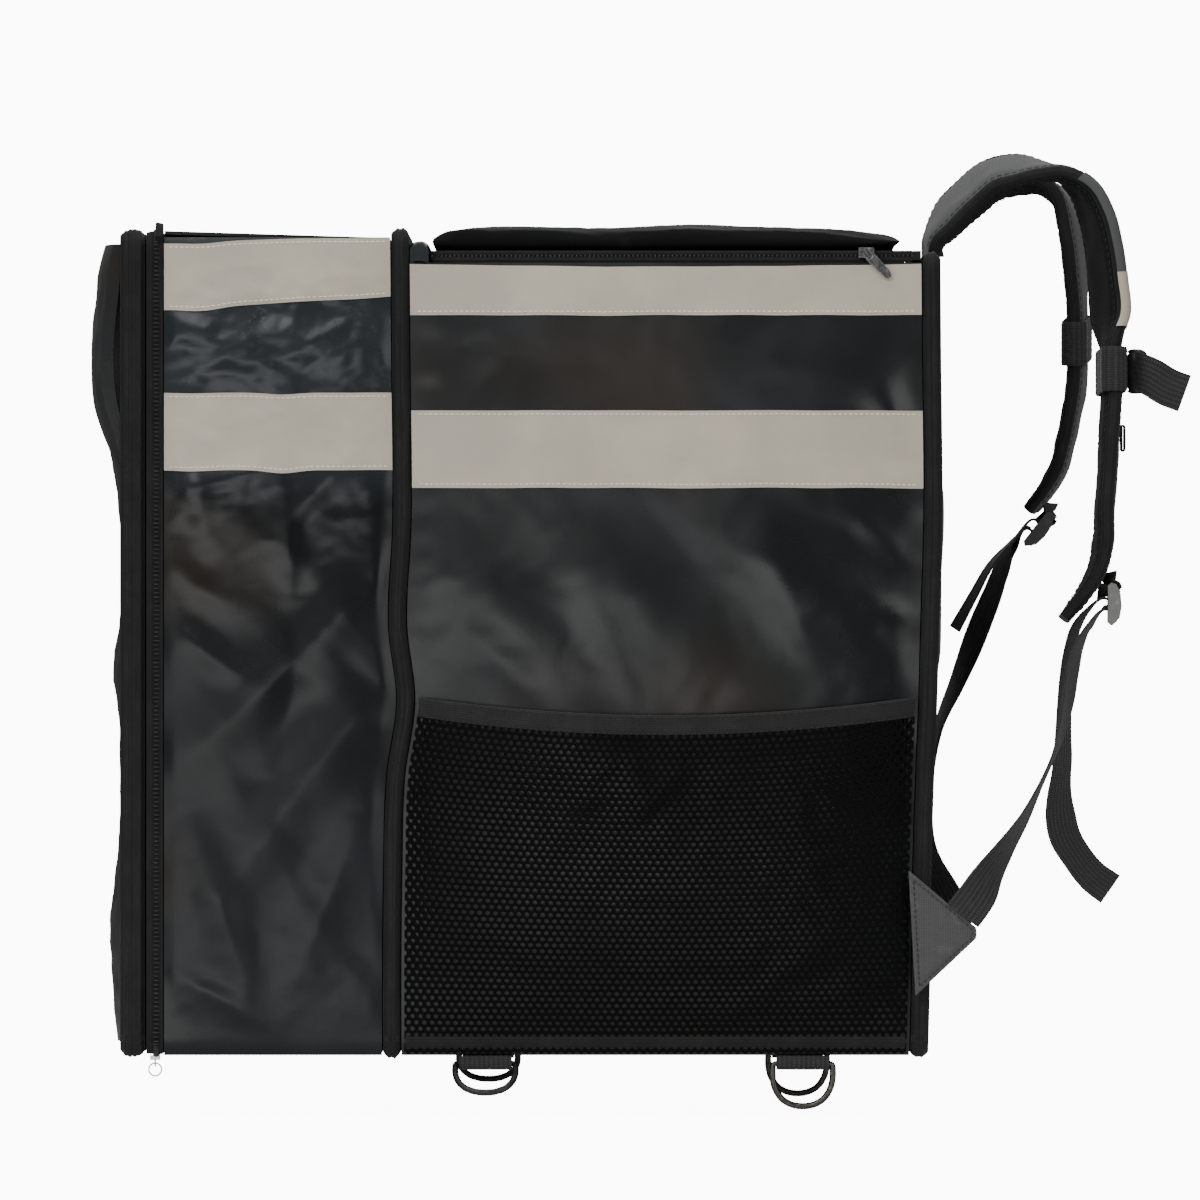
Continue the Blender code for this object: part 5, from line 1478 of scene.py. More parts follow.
@dataclass
class Lid:
    """The padded lid, its zip and the zip's slider."""

    finishes: Finishes
    front: float = float(main_front_x(TOP_Z)) + 0.013
    back: float = float(main_back_x(TOP_Z)) - 0.006
    half: float = SIDE_Y - 0.002
    low: float = TOP_Z - 0.0125
    round: float = 0.005
    columns: int = 78
    lines: int = 96
    rows: tuple[tuple[float, float], ...] = (
        (0.00, -0.80), (0.03, 0.43), (0.14, 1.00), (0.36, 0.43), (0.54, 1.20), (0.70, 0.65), (0.80, 0.55),
        (0.89, -0.20), (0.965, -1.30), (1.00, -2.40),
    )

    def build(self) -> None:
        """Makes the lid, its zip and dresses the slider and its pull."""
        along = np.linspace(0.0, 1.0, self.columns)[None, :]
        bend = np.linspace(-1.0, 1.0, self.lines)[:, None]
        y = np.sign(bend) * (1 - (1 - np.abs(bend)) ** 1.35) * self.half
        x = self.front + (self.back - self.front) * along
        xx, yy = np.broadcast_arrays(x, y)
        rise = 0.003 * smooth_curve(*zip(*self.rows), along)
        reach = np.minimum(self.half - np.abs(yy), np.minimum(xx - self.front, self.back - xx) + 0.0015)
        fall = self.round * np.maximum(0.0, 1 - reach / 0.009) ** 2
        inside = np.clip(reach / 0.02, 0.0, 1.0)
        puff = (0.0014 * crumple(xx, yy, 0.060, 81) + 0.0005 * crumple(xx, yy, 0.022, 82)) * inside
        pinch = 0.0012 * np.maximum(0.0, grain(xx / 0.012, yy / 0.2, 83)) * np.exp(-reach / 0.012)
        swell = 0.0040
        z = TOP_Z + rise - fall + puff - pinch - swell * inside
        outer = np.stack([xx, yy, z], axis=-1)
        inner = np.stack([xx, yy, 0 * z + self.low], axis=-1)
        lay = np.stack([yy, xx, 0 * z], axis=-1)
        cloth = slab_piece("lid_cloth", outer, inner, [self.finishes.lid_cloth], lay)

        def sewn(points: Grid) -> Grid:
            rim = np.minimum(
                self.half - np.abs(points[:, 1]),
                np.minimum(points[:, 0] - self.front, self.back - points[:, 0]),
            )
            return ((rim < 0.006) | (points[:, 2] < self.low + 0.004)).astype(float)

        def creases(points: Grid) -> Grid:
            top = np.clip((points[:, 2] - self.low - 0.006) / 0.006, 0.0, 1.0)
            dents = 0.0005 * crumple(points[:, 0], points[:, 1], 0.020, 84)
            return points + np.outer(top * dents, (0.0, 0.0, 1.0))
        cloth.swollen(0.0070, swell, sewn, lambda points: points[:, [1, 0, 0]] * (1.0, 1.0, 0.0), creases)
        cloth.place("edging", "lid").padded(0.6)
        self.build_zip()
        for node in ("lid_slider", "lid_pull"):
            dress_node(node, self.finishes.gun_metal, SMALL_BEVEL)

    def outward(self, rows: Grid) -> Grid:
        """The level directions away from the lid along a line round it."""
        ways = curve_frames(rows)
        outs = np.stack([ways[:, 1], -ways[:, 0], 0 * ways[:, 0]], axis=1)
        middle = np.array(((self.front + self.back) / 2, 0.0, 0.0))
        return outs * np.sign(np.sum(outs * (rows - middle), axis=1))[:, None]

    def build_zip(self) -> None:
        """The zip's cloth and its teeth round three sides."""
        low, high = TOP_Z - 0.0205 + LIE_GAP, self.low - LIE_GAP
        corner = 0.010
        path = [(self.back, -self.half)]
        for step in range(9):
            angle = -math.pi / 2 - step / 8 * math.pi / 2
            across, along = corner * (1 + math.cos(angle)), corner * (1 + math.sin(angle))
            path.append((self.front + across, along - self.half))
        path += [(x, -y) for x, y in path[::-1]]
        rows = resample(np.array([(x, y, 0.0) for x, y in path]), 0.0045)
        outs = self.outward(rows)
        tall = high - low
        shares = (0.0, 0.12, 0.36, 0.44, 0.5, 0.56, 0.64, 0.88, 1.0)
        pushes = (-0.0004, 0.0, 0.0, -0.0006, -0.0010, -0.0006, 0.0, 0.0, -0.0004)
        hidden = -0.0053
        sections, lay = [], []
        run = run_along(rows)
        for spot, out, place in zip(rows, outs, run):
            ring = []
            for share, push in zip((*shares, 1.0, 0.0), (*pushes, hidden, hidden)):
                ring.append(spot + out * (push - 0.0002) + np.array((0, 0, low + share * tall)))
            sections.append(ring)
            lay.append([(share * tall, place, 0.0) for share in shares] + [(0.0, place, 0.0)] * 2)
        loft_piece(
            "lid_zip_cloth", sections, [self.finishes.zip_cloth], lay=lay
        ).place("zip_cloth", "lid_zip")
        teeth = resample(rows, 0.0028)
        outs = self.outward(teeth)
        centre = teeth - outs * 0.0010 + np.array((0, 0, (low + high) / 2))
        reach = np.array((0, 0, 0.0017))
        points, faces = thread_shapes(centre - reach, centre + reach, outs, 0.0013)
        Piece("lid_zip_coil", points, faces, [self.finishes.coil]).place("zip_cloth")


def dress_node(node: str, material: bpy.types.Material, bevel: float = 0.0, smooth: int = 0) -> None:
    """Gives a kept node its material and softer edges.

    Args:
        node: The node's name.
        material: Its material.
        bevel: Width of its edges' bevel.
        smooth: How often its faces are divided.
    """
    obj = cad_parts[node]
    if not obj.material_slots:
        obj.data.materials.append(material)
    for place in obj.material_slots:
        place.material = material
    joined = obj.modifiers.new("joined", "WELD")
    joined.merge_threshold = 0.00002
    if bevel:
        edge = obj.modifiers.new("soft_edges", "BEVEL")
        edge.width = bevel
        edge.segments = 2
        edge.limit_method = "ANGLE"
        edge.angle_limit = math.radians(38)
        edge.use_clamp_overlap = True
    if smooth:
        finer = obj.modifiers.new("smooth", "SUBSURF")
        finer.levels = smooth
        finer.render_levels = smooth


@dataclass
class SidePocket:
    """A net pocket on the main wall, with its elastic band and its hem."""

    main: SideWall
    finishes: Finishes
    height: float = 0.218
    sag: float = 0.012
    room: float = 0.009
    band: float = 0.0135
    cell: float = 0.0050
    strand: float = 0.36
    strand_wall: float = 0.0009
    inset: float = 0.006
    foot: float = 0.001
    under_band: float = 0.003
    least_area: float = 0.31

    def top(self, across: Grid) -> Grid:
        """The sagging line along the net's upper edge."""
        return LOW_Z + self.height - self.sag * 4 * across * (1 - across)

    def lift(self, across: Grid, z: Grid) -> Grid:
        """The net's distance from the wall."""
        sides = np.minimum(1.0, np.minimum(across, 1 - across) / 0.12)
        upward = np.minimum(1.0, (z - LOW_Z) / (self.height / 3))
        slack = 0.0018 * grain(across * 9.0, z / 0.05, 91) * sides * upward
        room = self.room * np.sin(np.clip(sides, 0, 1) * math.pi / 2) * np.clip(upward, 0, 1)
        return 2 * LIE_GAP + room + slack

    def spots(self, side: Side, across: Grid, z: Grid, extra: Grid | float) -> Grid:
        """Places on the net, or so much further off the wall."""
        return self.main.points(side, across, z, self.lift(across, z) + extra)

    def build(self) -> None:
        """Makes both pockets."""
        for side in Side:
            self.build_net(side)
            self.build_band(side)

    def build_net(self, side: Side) -> None:
        """The net, as rows of six-sided holes between strands, and its two faces."""
        wide = self.main.size[0] * (1 - 2 * self.inset)
        columns = int(wide / self.cell)
        rows = int(self.height / (self.cell * 0.80))
        step_u, step_v = 1.0 / columns, 1.0 / rows
        turns = np.arange(6) * math.pi / 3 + math.pi / 6
        outer = np.stack([np.cos(turns) / math.cos(math.pi / 6) * 0.5, np.sin(turns) * 0.5 / 0.75], axis=1)
        centres = []
        for row in range(rows + 1):
            shift = 0.5 if row % 2 else 0.0
            for column in range(columns + 1):
                centres.append(((column + shift) * step_u, row * step_v))
        centre = np.array(centres)
        ring = centre[:, None, :] + outer[None] * (step_u, step_v)
        hole = centre[:, None, :] + outer[None] * (step_u, step_v) * (1 - self.strand) * 0.92
        flat = np.clip(np.concatenate([ring, hole], axis=1), 0.0, 1.0)
        count = len(centre)
        a = np.arange(6)
        b = (a + 1) % 6
        quads = np.stack([a, b, b + 6, a + 6], axis=1)
        faces = (quads[None] + np.arange(count)[:, None, None] * 12).reshape(-1, 4)
        share_u, share_v = flat[..., 0].ravel(), flat[..., 1].ravel()
        keys = np.round(np.stack([share_u, share_v], axis=1), 6)
        unique, index = np.unique(keys, axis=0, return_inverse=True)
        faces = index.reshape(-1)[faces]
        spans = unique[faces]
        area = np.abs(np.cross(spans[:, 2] - spans[:, 0], spans[:, 3] - spans[:, 1]))
        faces = faces[area > 1e-9]
        across = self.inset + (1 - 2 * self.inset) * unique[:, 0]
        z = LOW_Z + self.foot + unique[:, 1] * (self.top(across) - LOW_Z - self.foot + self.under_band)
        round_in = 0.0003 * np.sin(np.clip((z - LOW_Z) / 0.006, 0, 1) * math.pi / 2)
        front = self.spots(side, across, z, self.strand_wall + round_in)
        lay = np.stack([across * wide, z, 0 * z], axis=-1)
        piece = Piece(f"side_net_{side.label}", front, faces, [self.finishes.net])
        piece.lay(lay)
        thick = piece.obj.modifiers.new("strands", "SOLIDIFY")
        thick.thickness = self.strand_wall
        thick.offset = 0.0
        thick.use_even_offset = False
        piece.place("net", f"pocket_net_{side.label}")
        flat, under = (self.main.size[0], self.height), [f"main_wall_{side.label}"]
        self.net_area(piece)

    def net_area(self, piece: Piece) -> float:
        """The net's own flat area, without its holes, held between a least share of the whole panel and the
        whole. The net's own flat area, without its holes, held to what a sheet may declare.
        """
        area = sum(face.area for face in piece.obj.data.polygons)
        whole = self.main.size[0] * self.height
        return min(whole, max(self.least_area * whole, area))

    def build_band(self, side: Side) -> None:
        """The elastic band along the top, gathered a little, and the hem at the bottom."""
        columns = int(self.main.size[0] / 0.0024)
        across = np.linspace(self.inset, 1 - self.inset, columns)
        half = [(0.0, 0.0006), (0.04, 0.0020), (0.14, 0.0026), (0.32, 0.0023)]
        rises, lifts = np.array(half + [(0.5, 0.0026)] + [(1 - rise, lift) for rise, lift in half[::-1]]).T
        gather = 0.00035 * grain(across * 70, across * 0, 93)
        sections, lay = [], []
        for column, share in enumerate(across):
            one = np.full(len(rises), share)
            z = self.top(one) + LIE_GAP + rises * (self.band - LIE_GAP)
            front = self.spots(side, one, z, lifts + gather[column] * (lifts > 0.001))
            back = self.spots(side, one[[-1, 0]], z[[-1, 0]], 0.0)
            sections.append(np.concatenate([front, back]))
            place = share * self.main.size[0]
            lay.append([(r * self.band, place, 0.0) for r in rises] + [(0.0, place, 0.0)] * 2)
        name = f"pocket_elastic_{side.label}"
        loft_piece(
            name, sections, [self.finishes.elastic], lay=lay
        ).place("edging", f"pocket_band_{side.label}")
        lines = []
        for share in (0.10, 0.90):
            z = self.top(across) + share * self.band
            points = self.spots(side, across, z, 0.0026)
            lines.append((points[2:-2], facing(side, len(across) - 4)))
        stitch_piece(
            f"pocket_elastic_stitches_{side.label}", lines, *DARK_STITCH, self.finishes.dark_thread
        ).place("edging")
        hem = np.linspace(0.008, 0.992, columns)
        sections, lay = [], []
        outline = np.array(
            (
                (0.002, 0.0011), (0.006, 0.0019), (0.011, 0.0019), (0.0135, 0.0013), (0.0135, 0.0002),
                (0.002, 0.0002),
            )
        )
        for share in hem:
            one = np.full(len(outline), share)
            sections.append(self.spots(side, one, LOW_Z + outline[:, 0], outline[:, 1]))
            lay.append([(rise, share * self.main.size[0], 0.0) for rise in outline[:, 0]])
        loft_piece(f"pocket_hem_{side.label}", sections, [self.finishes.binding], lay=lay).place("edging")


@dataclass(frozen=True)
class Station:
    """A row of a strap's run: where it is, how its width leans in degrees and its share of full width."""

    reach: float
    drop: float
    turn: float
    girth: float = 1.0


def curve_frames(points: Grid) -> Grid:
    """Each point's direction along the line."""
    return unit(np.gradient(points, axis=0))


def lean_frames(ways: Grid, turns: Grid) -> tuple[Grid, Grid]:
    """The width's line and the face's normal along a strap.

    Args:
        ways: Its directions.
        turns: How its width leans, in degrees.

    Returns:
        The width's directions and the normals.
    """
    level = unit(np.array((0.0, 1.0, 0.0)) - ways * ways[:, 1:2])
    normal = np.cross(ways, level)
    lean = np.radians(turns)[:, None]
    width = level * np.cos(lean) + normal * np.sin(lean)
    return width, unit(np.cross(ways, width))


def finer(rows: Grid, pitch: float) -> Grid:
    """Rows of numbers, the first three a place, read more closely along a smooth curve."""
    steps = np.linalg.norm(np.diff(rows[:, :3], axis=0), axis=1)
    run = np.concatenate([[0.0], np.cumsum(np.maximum(steps, 1e-5))])
    marks = np.linspace(0.0, run[-1], max(4, int(run[-1] / pitch)))
    return np.stack([smooth_curve(run, rows[:, column], marks) for column in range(rows.shape[1])], axis=1)


def strap_crown(across: Grid) -> Grid:
    """Half a padded strap's thickness across it, from -1 to 1, as a share of its wall."""
    return STRAP_EDGE + (1 - STRAP_EDGE * 2) * (1 - np.abs(across) ** 6) * 0.5


def strap_profile() -> Grid:
    """A padded strap's cross-section, outer face first: across from -1 to 1, and a share of its wall."""
    across = np.concatenate(
        [np.linspace(-1, -0.84, 5)[:-1], np.linspace(-0.84, 0.84, 13), np.linspace(0.84, 1, 5)[1:]]
    )
    crown = strap_crown(across)
    valley = 0.10 * bell(np.abs(across) - 0.85, 0.035)
    outer, inner = crown - valley, valley - crown
    return np.concatenate([np.stack([across, outer], axis=1), np.stack([across[::-1], inner[::-1]], axis=1)])


@dataclass
class ShoulderStrap:
    """One padded shoulder strap with its bound edges and stitches."""

    side: Side
    rows: tuple[Station, ...]
    finishes: Finishes
    width: float = 0.068
    wall: float = 0.012
    reach: float = 0.118
    drop: float = 0.237
    root: tuple[float, float, float] = (BACK_X - 0.0057, 0.072, BACK_TOP_Z + LIE_GAP)
    end_spread: float = 0.108
    pitch: float = 0.0030
    patch: tuple[float, float] | None = None

    def place(self, reach: float, drop: float, share: float = 1.0) -> Grid:
        """A place on the strap's run, from shares of its reach and drop."""
        y = self.side.value * (self.root[1] + (self.end_spread - self.root[1]) * share)
        return np.array((self.root[0] + reach * self.reach, y, self.root[2] - drop * self.drop))

    def run(self) -> Grid:
        """The strap's centre line, in rows of a place, its lean, its girth and its row's number."""
        last = len(self.rows) - 1
        rows = []
        for index, row in enumerate(self.rows):
            spot = self.place(row.reach, row.drop, index / last)
            rows.append((*spot, self.side.value * row.turn, row.girth, index))
        return finer(np.array(rows), self.pitch)

    def frames(self, rows: Grid) -> tuple[Grid, Grid, Grid]:
        """Directions, width lines and normals for rows of the run."""
        ways = curve_frames(rows[:, :3])
        if rows[0, 5] < 0.5:
            blend = np.clip(rows[:, 5], 0.0, 1.0)[:, None]
            ways = unit(ways * blend + np.array((0.0, 0.0, 1.0)) * (1 - blend))
        width, face = lean_frames(ways, rows[:, 3])
        return ways, width, face

    def build(self) -> None:
        """Makes the padded strap, its bindings and their stitches."""
        rows = self.run()
        _, width, face = self.frames(rows)
        profile = strap_profile()
        run = run_along(rows[:, :3])
        half = self.width / 2 * rows[:, 4]
        wall = self.wall * (0.4 + 0.6 * rows[:, 4])
        across, rise = profile[:, 0], profile[:, 1]
        spots = rows[:, None, :3] + width[:, None] * (half[:, None] * across[None])[..., None]
        wrinkle = 0.05 * grain(run[:, None] / 0.016, across[None] * 1.3, 101 + self.side.value)
        bend = np.linalg.norm(np.gradient(curve_frames(rows[:, :3]), axis=0), axis=1)
        bend = np.clip(np.convolve(bend, np.ones(9) / 9, "same") / 0.045, 0.0, 1.0)[:, None]
        pinch = 0.10 * bend * grain(run[:, None] / 0.009, across[None] * 0.4, 103) * (rise[None] < 0)
        height = rise[None] + (wrinkle + pinch) * (np.abs(across[None]) < 0.8)
        spots = spots + face[:, None] * (wall[:, None] * height)[..., None]
        lay = np.stack([half[:, None] * across[None], run[:, None] + 0 * across[None], 0 * height], axis=-1)
        materials = [self.finishes.strap_cloth, self.finishes.spacer]
        outer_count = len(across) // 2
        label = self.side.label
        strap = loft_piece(
            f"padded_strap_{label}", spots, materials, lay=lay, picks=lambda index: int(index >= outer_count)
        )
        strap.place("strap_cloth", f"shoulder_strap_{label}").padded(0.7)
        lines = []
        for edge in (-1.0, 1.0):
            self.build_binding(edge, rows, width, face, half, wall, run)
            inset = half * edge - np.sign(edge) * 0.0062
            crown = strap_crown(inset / half) * wall
            for face_sign in (1.0, -1.0):
                points = rows[:, :3] + width * inset[:, None] + face * (face_sign * crown)[:, None]
                lines.append((points[3:-3], (face * face_sign)[3:-3]))
        stitch_piece(
            f"strap_stitches_{label}", lines, *STRAP_STITCH, self.finishes.dark_thread
        ).place("strap_cloth")
        if self.patch:
            self.build_patch(rows, width, face, half, wall)
            self.build_cover(rows, width, face, half, wall)

    def build_binding(
        self, edge: float, rows: Grid, width: Grid, face: Grid, half: Grid, wall: Grid, run: Grid
    ) -> None:
        """The folded tape round one edge of the strap."""
        turns = np.radians(np.linspace(-150, 150, 15))
        centre = rows[:, :3] + width * (edge * (half - BOUND_REACH * BOUND_INSET))[:, None]
        tall = wall * BOUND_TALL + BOUND_WALL
        wave = 1 + 0.05 * grain(run / 0.01, run * 0 + edge, 107)
        out = edge * BOUND_REACH * np.cos(turns)[None] * BOUND_ROUND
        lift = (tall * wave)[:, None] * np.sin(turns)[None]
        lift = np.clip(lift, -tall[:, None] * BOUND_CUT, tall[:, None] * BOUND_CUT)
        spots = centre[:, None] + width[:, None] * out[..., None] + face[:, None] * lift[..., None]
        lay = np.stack([turns[None] * 0.003 + 0 * lift, run[:, None] + 0 * lift, 0 * lift], axis=-1)
        side = "outer" if edge * self.side.value > 0 else "inner"
        loft_piece(
            f"strap_binding_{side}_{self.side.label}", spots, [self.finishes.binding], lay=lay
        ).place("edging")

    def build_cover(self, rows: Grid, width: Grid, face: Grid, half: Grid, wall: Grid) -> None:
        """The outer cloth and the reflector's end, drawn round the strap's near edge above the sleeve."""
        angles = np.radians(np.linspace(-28, 150, 16))
        edge = float(self.side.value)
        for name, span, material, lift in (
            ("cover", (7.6, self.patch[0] + 0.15), self.finishes.strap_cloth, 0.0),
            ("reflector_end", self.patch, self.finishes.tape, 0.0003),
        ):
            inside = (rows[:, 5] >= span[0]) & (rows[:, 5] <= span[1])
            spots, wide, out, reach, thick = (values[inside] for values in (rows, width, face, half, wall))
            centre = spots[:, :3] + wide * (edge * (reach - BOUND_REACH * BOUND_INSET))[:, None]
            tall = thick * BOUND_TALL + BOUND_WALL
            skins = []
            for extra in (0.0010 + lift, 0.0004 + lift):
                across = edge * (BOUND_REACH * BOUND_ROUND + extra) * np.cos(angles)[None]
                rise = np.clip(
                    (tall[:, None] + extra) * np.sin(angles)[None], None, tall[:, None] * BOUND_CUT + extra
                )
                skins.append(
                    centre[:, None] + wide[:, None] * across[..., None] + out[:, None] * rise[..., None]
                )
            slab_piece(f"strap_{name}_{self.side.label}", skins[0], skins[1], [material]).place("strap_cloth")

    def build_patch(self, rows: Grid, width: Grid, face: Grid, half: Grid, wall: Grid) -> None:
        """The small reflective patch sewn across the strap's outer face."""
        inside = (rows[:, 5] >= self.patch[0]) & (rows[:, 5] <= self.patch[1])
        rows, width, face, half, wall = (values[inside] for values in (rows, width, face, half, wall))
        across = np.linspace(-0.80, 0.80, 20)
        crown = strap_crown(across)[None] * wall[:, None]
        base = rows[:, None, :3] + width[:, None] * (half[:, None] * across[None])[..., None]
        outer = base + face[:, None] * (crown + 0.0012)[..., None]
        inner = base + face[:, None] * (crown + 0.0004)[..., None]
        patch = slab_piece(f"strap_reflector_{self.side.label}", outer, inner, [self.finishes.tape])
        patch.place("strap_cloth")
        length = float(np.linalg.norm(rows[-1, :3] - rows[0, :3]))
        patch.stretched(0.055, length, [f"padded_strap_{self.side.label}"])


def rounded_block(centre: Grid, half: Grid, soft: float, power: float) -> tuple[Grid, Grid]:
    """A block whose X-Z outline is a rounded D and whose Y edges are softened.

    Args:
        centre: Its middle.
        half: Half its size.
        soft: How far its edges are rounded.
        power: How square its outline is.

    Returns:
        Its points and its faces.
    """
    angles = np.linspace(0.0, 2 * math.pi, 28, endpoint=False)
    ring = np.stack([np.cos(angles), 0 * angles, np.sin(angles)], axis=1)
    ring = np.sign(ring) * np.abs(ring) ** (2 / power)
    levels = ((-1.0, soft), (-1.0 + 0.6 * soft / half[1], soft * 0.3), (-1.0 + 1.2 * soft / half[1], 0.0))
    levels += tuple((-along, inset) for along, inset in levels[::-1])
    rings = []
    for along, inset in levels:
        size = np.maximum(half - inset, 0.0002)
        rings.append(centre + ring * (size[0], 0.0, size[2]) + np.array((0.0, along * half[1], 0.0)))
    count = len(ring)
    points = np.concatenate([*rings, [centre - (0.0, half[1], 0.0), centre + (0.0, half[1], 0.0)]])
    faces = []
    for level in range(len(levels) - 1):
        for index in range(count):
            after = (index + 1) % count
            a, b = level * count, (level + 1) * count
            faces.append((a + index, a + after, b + after, b + index))
    last = len(rings) * count
    top = (len(rings) - 1) * count
    for index in range(count):
        after = (index + 1) % count
        faces.append((index, last, last, after))
        faces.append((top + index, top + after, last + 1, last + 1))
    return points, np.array(faces)


def ribbon_piece(
    name: str,
    points: Grid,
    width: Grid,
    face: Grid,
    wide: float,
    material: bpy.types.Material,
    curl: float = 0.0,
) -> Piece:
    """A webbing along a line.

    Args:
        name: The piece's name.
        points: Its centre line.
        width: Its width's directions.
        face: Its normals.
        wide: Its width.
        material: Its material.
        curl: How far its edges bend towards its inner face.

    Returns:
        The piece.
    """
    across = np.array((-0.5, -0.47, -0.40, -0.2, 0.0, 0.2, 0.40, 0.47, 0.5))
    thick = np.array((0.32, 0.5, 0.46, 0.5, 0.5, 0.5, 0.46, 0.5, 0.32))
    bow = -curl * (2 * across) ** 2
    run = run_along(points)
    base = points[:, None] + width[:, None] * (wide * across)[None, :, None]
    top = base + face[:, None] * (WEBBING_SHOWN * thick + bow)[None, :, None]
    bottom = base - face[:, None] * (WEBBING_SHOWN * thick - bow)[None, :, None]
    rings = np.concatenate([top, bottom[:, ::-1]], axis=1)
    acrosses, runs = np.meshgrid(wide * across, run)
    flat = np.stack([acrosses, runs, 0 * runs], axis=-1)
    return loft_piece(name, rings, [material], lay=np.concatenate([flat, flat[:, ::-1]], axis=1))


@dataclass
class LockWeb:
    """A strap's ladder lock with its loop, and the webbing from the anchor through it."""

    strap: ShoulderStrap
    reach: float
    drop: float
    tilt: float
    loop_rows: tuple[float, float]
    web: tuple[tuple[float, float, float, float], ...]
    tail: tuple[tuple[float, float, float, float], ...]
    finishes: Finishes

    @property
    def centre(self) -> Grid:
        """The lock's middle bar."""
        return self.strap.place(self.reach, self.drop)

    def at(self, out: float, rise: float) -> Grid:
        """A place in the lock: out to the wearer and up along its plates."""
        tilt = math.radians(self.tilt)
        x = out * math.cos(tilt) - rise * math.sin(tilt)
        z = out * math.sin(tilt) + rise * math.cos(tilt)
        return self.centre + np.array((x, 0.0, z))

    def build(self, anchor_tip: Grid) -> None:
        """Makes the webbing and the loop, and dresses the lock.

        Args:
            anchor_tip: Where the webbing leaves its anchor.
        """
        label = self.strap.side.label
        side = self.strap.side.value
        below, above = ((-0.75, -1.15), (-0.30, -1.0)), ((-0.30, 1.0), (-0.75, 1.3))
        inside = [self.at(LOCK_DEPTH * out, LOCK_BEND * rise) for out, rise in below]
        for angle in range(-90, 91, 30):
            turn = math.radians(angle)
            inside.append(self.at(LOCK_BEND * math.cos(turn), LOCK_BEND * math.sin(turn)))
        inside += [self.at(LOCK_DEPTH * out, LOCK_BEND * rise) for out, rise in above]
        way = inside[0] - anchor_tip
        rows = []
        for reach, rise, aside, turn in self.web:
            spot = anchor_tip + np.array((way[0] * reach, way[1] * aside, way[2] * rise))
            rows.append((*spot, side * turn))
        rows += [(*spot, 0.0) for spot in inside]
        for reach, drop, aside, turn in self.tail:
            away = np.array((0.035 * reach, 0.035 * aside, -0.185 * drop))
            rows.append((*(self.centre + away), -side * turn))
        fine = finer(np.array(rows), 0.0022)
        ways = curve_frames(fine[:, :3])
        width, face = lean_frames(ways, fine[:, 3])
        piece = ribbon_piece(
            f"adjuster_webbing_{label}", fine[:, :3], width, face, WEBBING_WIDTH, self.finishes.webbing,
            0.0004,
        )
        piece.place("webbing", f"webbing_{label}")
        self.build_loop()
        # Both locks are the same grey plastic; the far one takes the darker copy, which is painted shade.
        plastic = self.finishes.grey_plastic if self.strap.side is Side.NEAR else self.finishes.dull_plastic
        dress_node(f"ladder_lock_{label}", plastic, 0.0005)

    def build_loop(self) -> None:
        """The folded webbing that holds the lock to the strap."""
        ends = [self.seam(row) for row in self.loop_rows]
        middle = []
        for turn in range(120, -121, -20):
            angle = math.radians(turn)
            middle.append(
                self.at(LOCK_BEND * math.cos(angle), LOCK_HEIGHT * LOOP_SHARE + LOCK_BEND * math.sin(angle))
            )
        points = finer(np.array([ends[0]] + middle + [ends[1]]), 0.0012)
        ways = curve_frames(points)
        share = np.linspace(-1.0, 1.0, len(points))
        leans = (6.0 + 20.0 * np.abs(share) ** 1.5) * np.where(share < 0, 1.0, -1.0)
        width, face = lean_frames(ways, self.strap.side.value * leans)
        label = self.strap.side.label
        loop = ribbon_piece(f"buckle_loop_{label}", points, width, face, WEBBING_WIDTH, self.finishes.webbing)
        loop.place("webbing", f"lock_loop_{label}")

    def seam(self, rows_up: float) -> Grid:
        """Where an end of the loop is sewn, that many rows up from the strap's end."""
        strap = self.strap
        count = len(strap.rows) - 1
        place = count - rows_up
        index = int(place)
        share = place - index
        spots, outs, walls = [], [], []
        for step in (index, index + 1):
            before, after = max(0, step - 1), min(count, step + 1)
            row = strap.rows[step]
            spot = strap.place(row.reach, row.drop, step / count)
            first = strap.place(strap.rows[before].reach, strap.rows[before].drop, before / count)
            last = strap.place(strap.rows[after].reach, strap.rows[after].drop, after / count)
            way = (last - first) / np.linalg.norm(last - first)
            _, face = lean_frames(way[None], np.array([strap.side.value * row.turn]))
            spots.append(spot)
            outs.append(face[0])
            walls.append(strap.wall * (0.4 + 0.6 * row.girth))
        out = outs[0] * (1 - share) + outs[1] * share
        out /= np.linalg.norm(out)
        lift = (walls[0] * (1 - share) + walls[1] * share) / 2 + 2 * LIE_GAP + WEBBING_WALL
        found = spots[0] * (1 - share) + spots[1] * share + out * lift
        found[1] = self.centre[1]
        return found


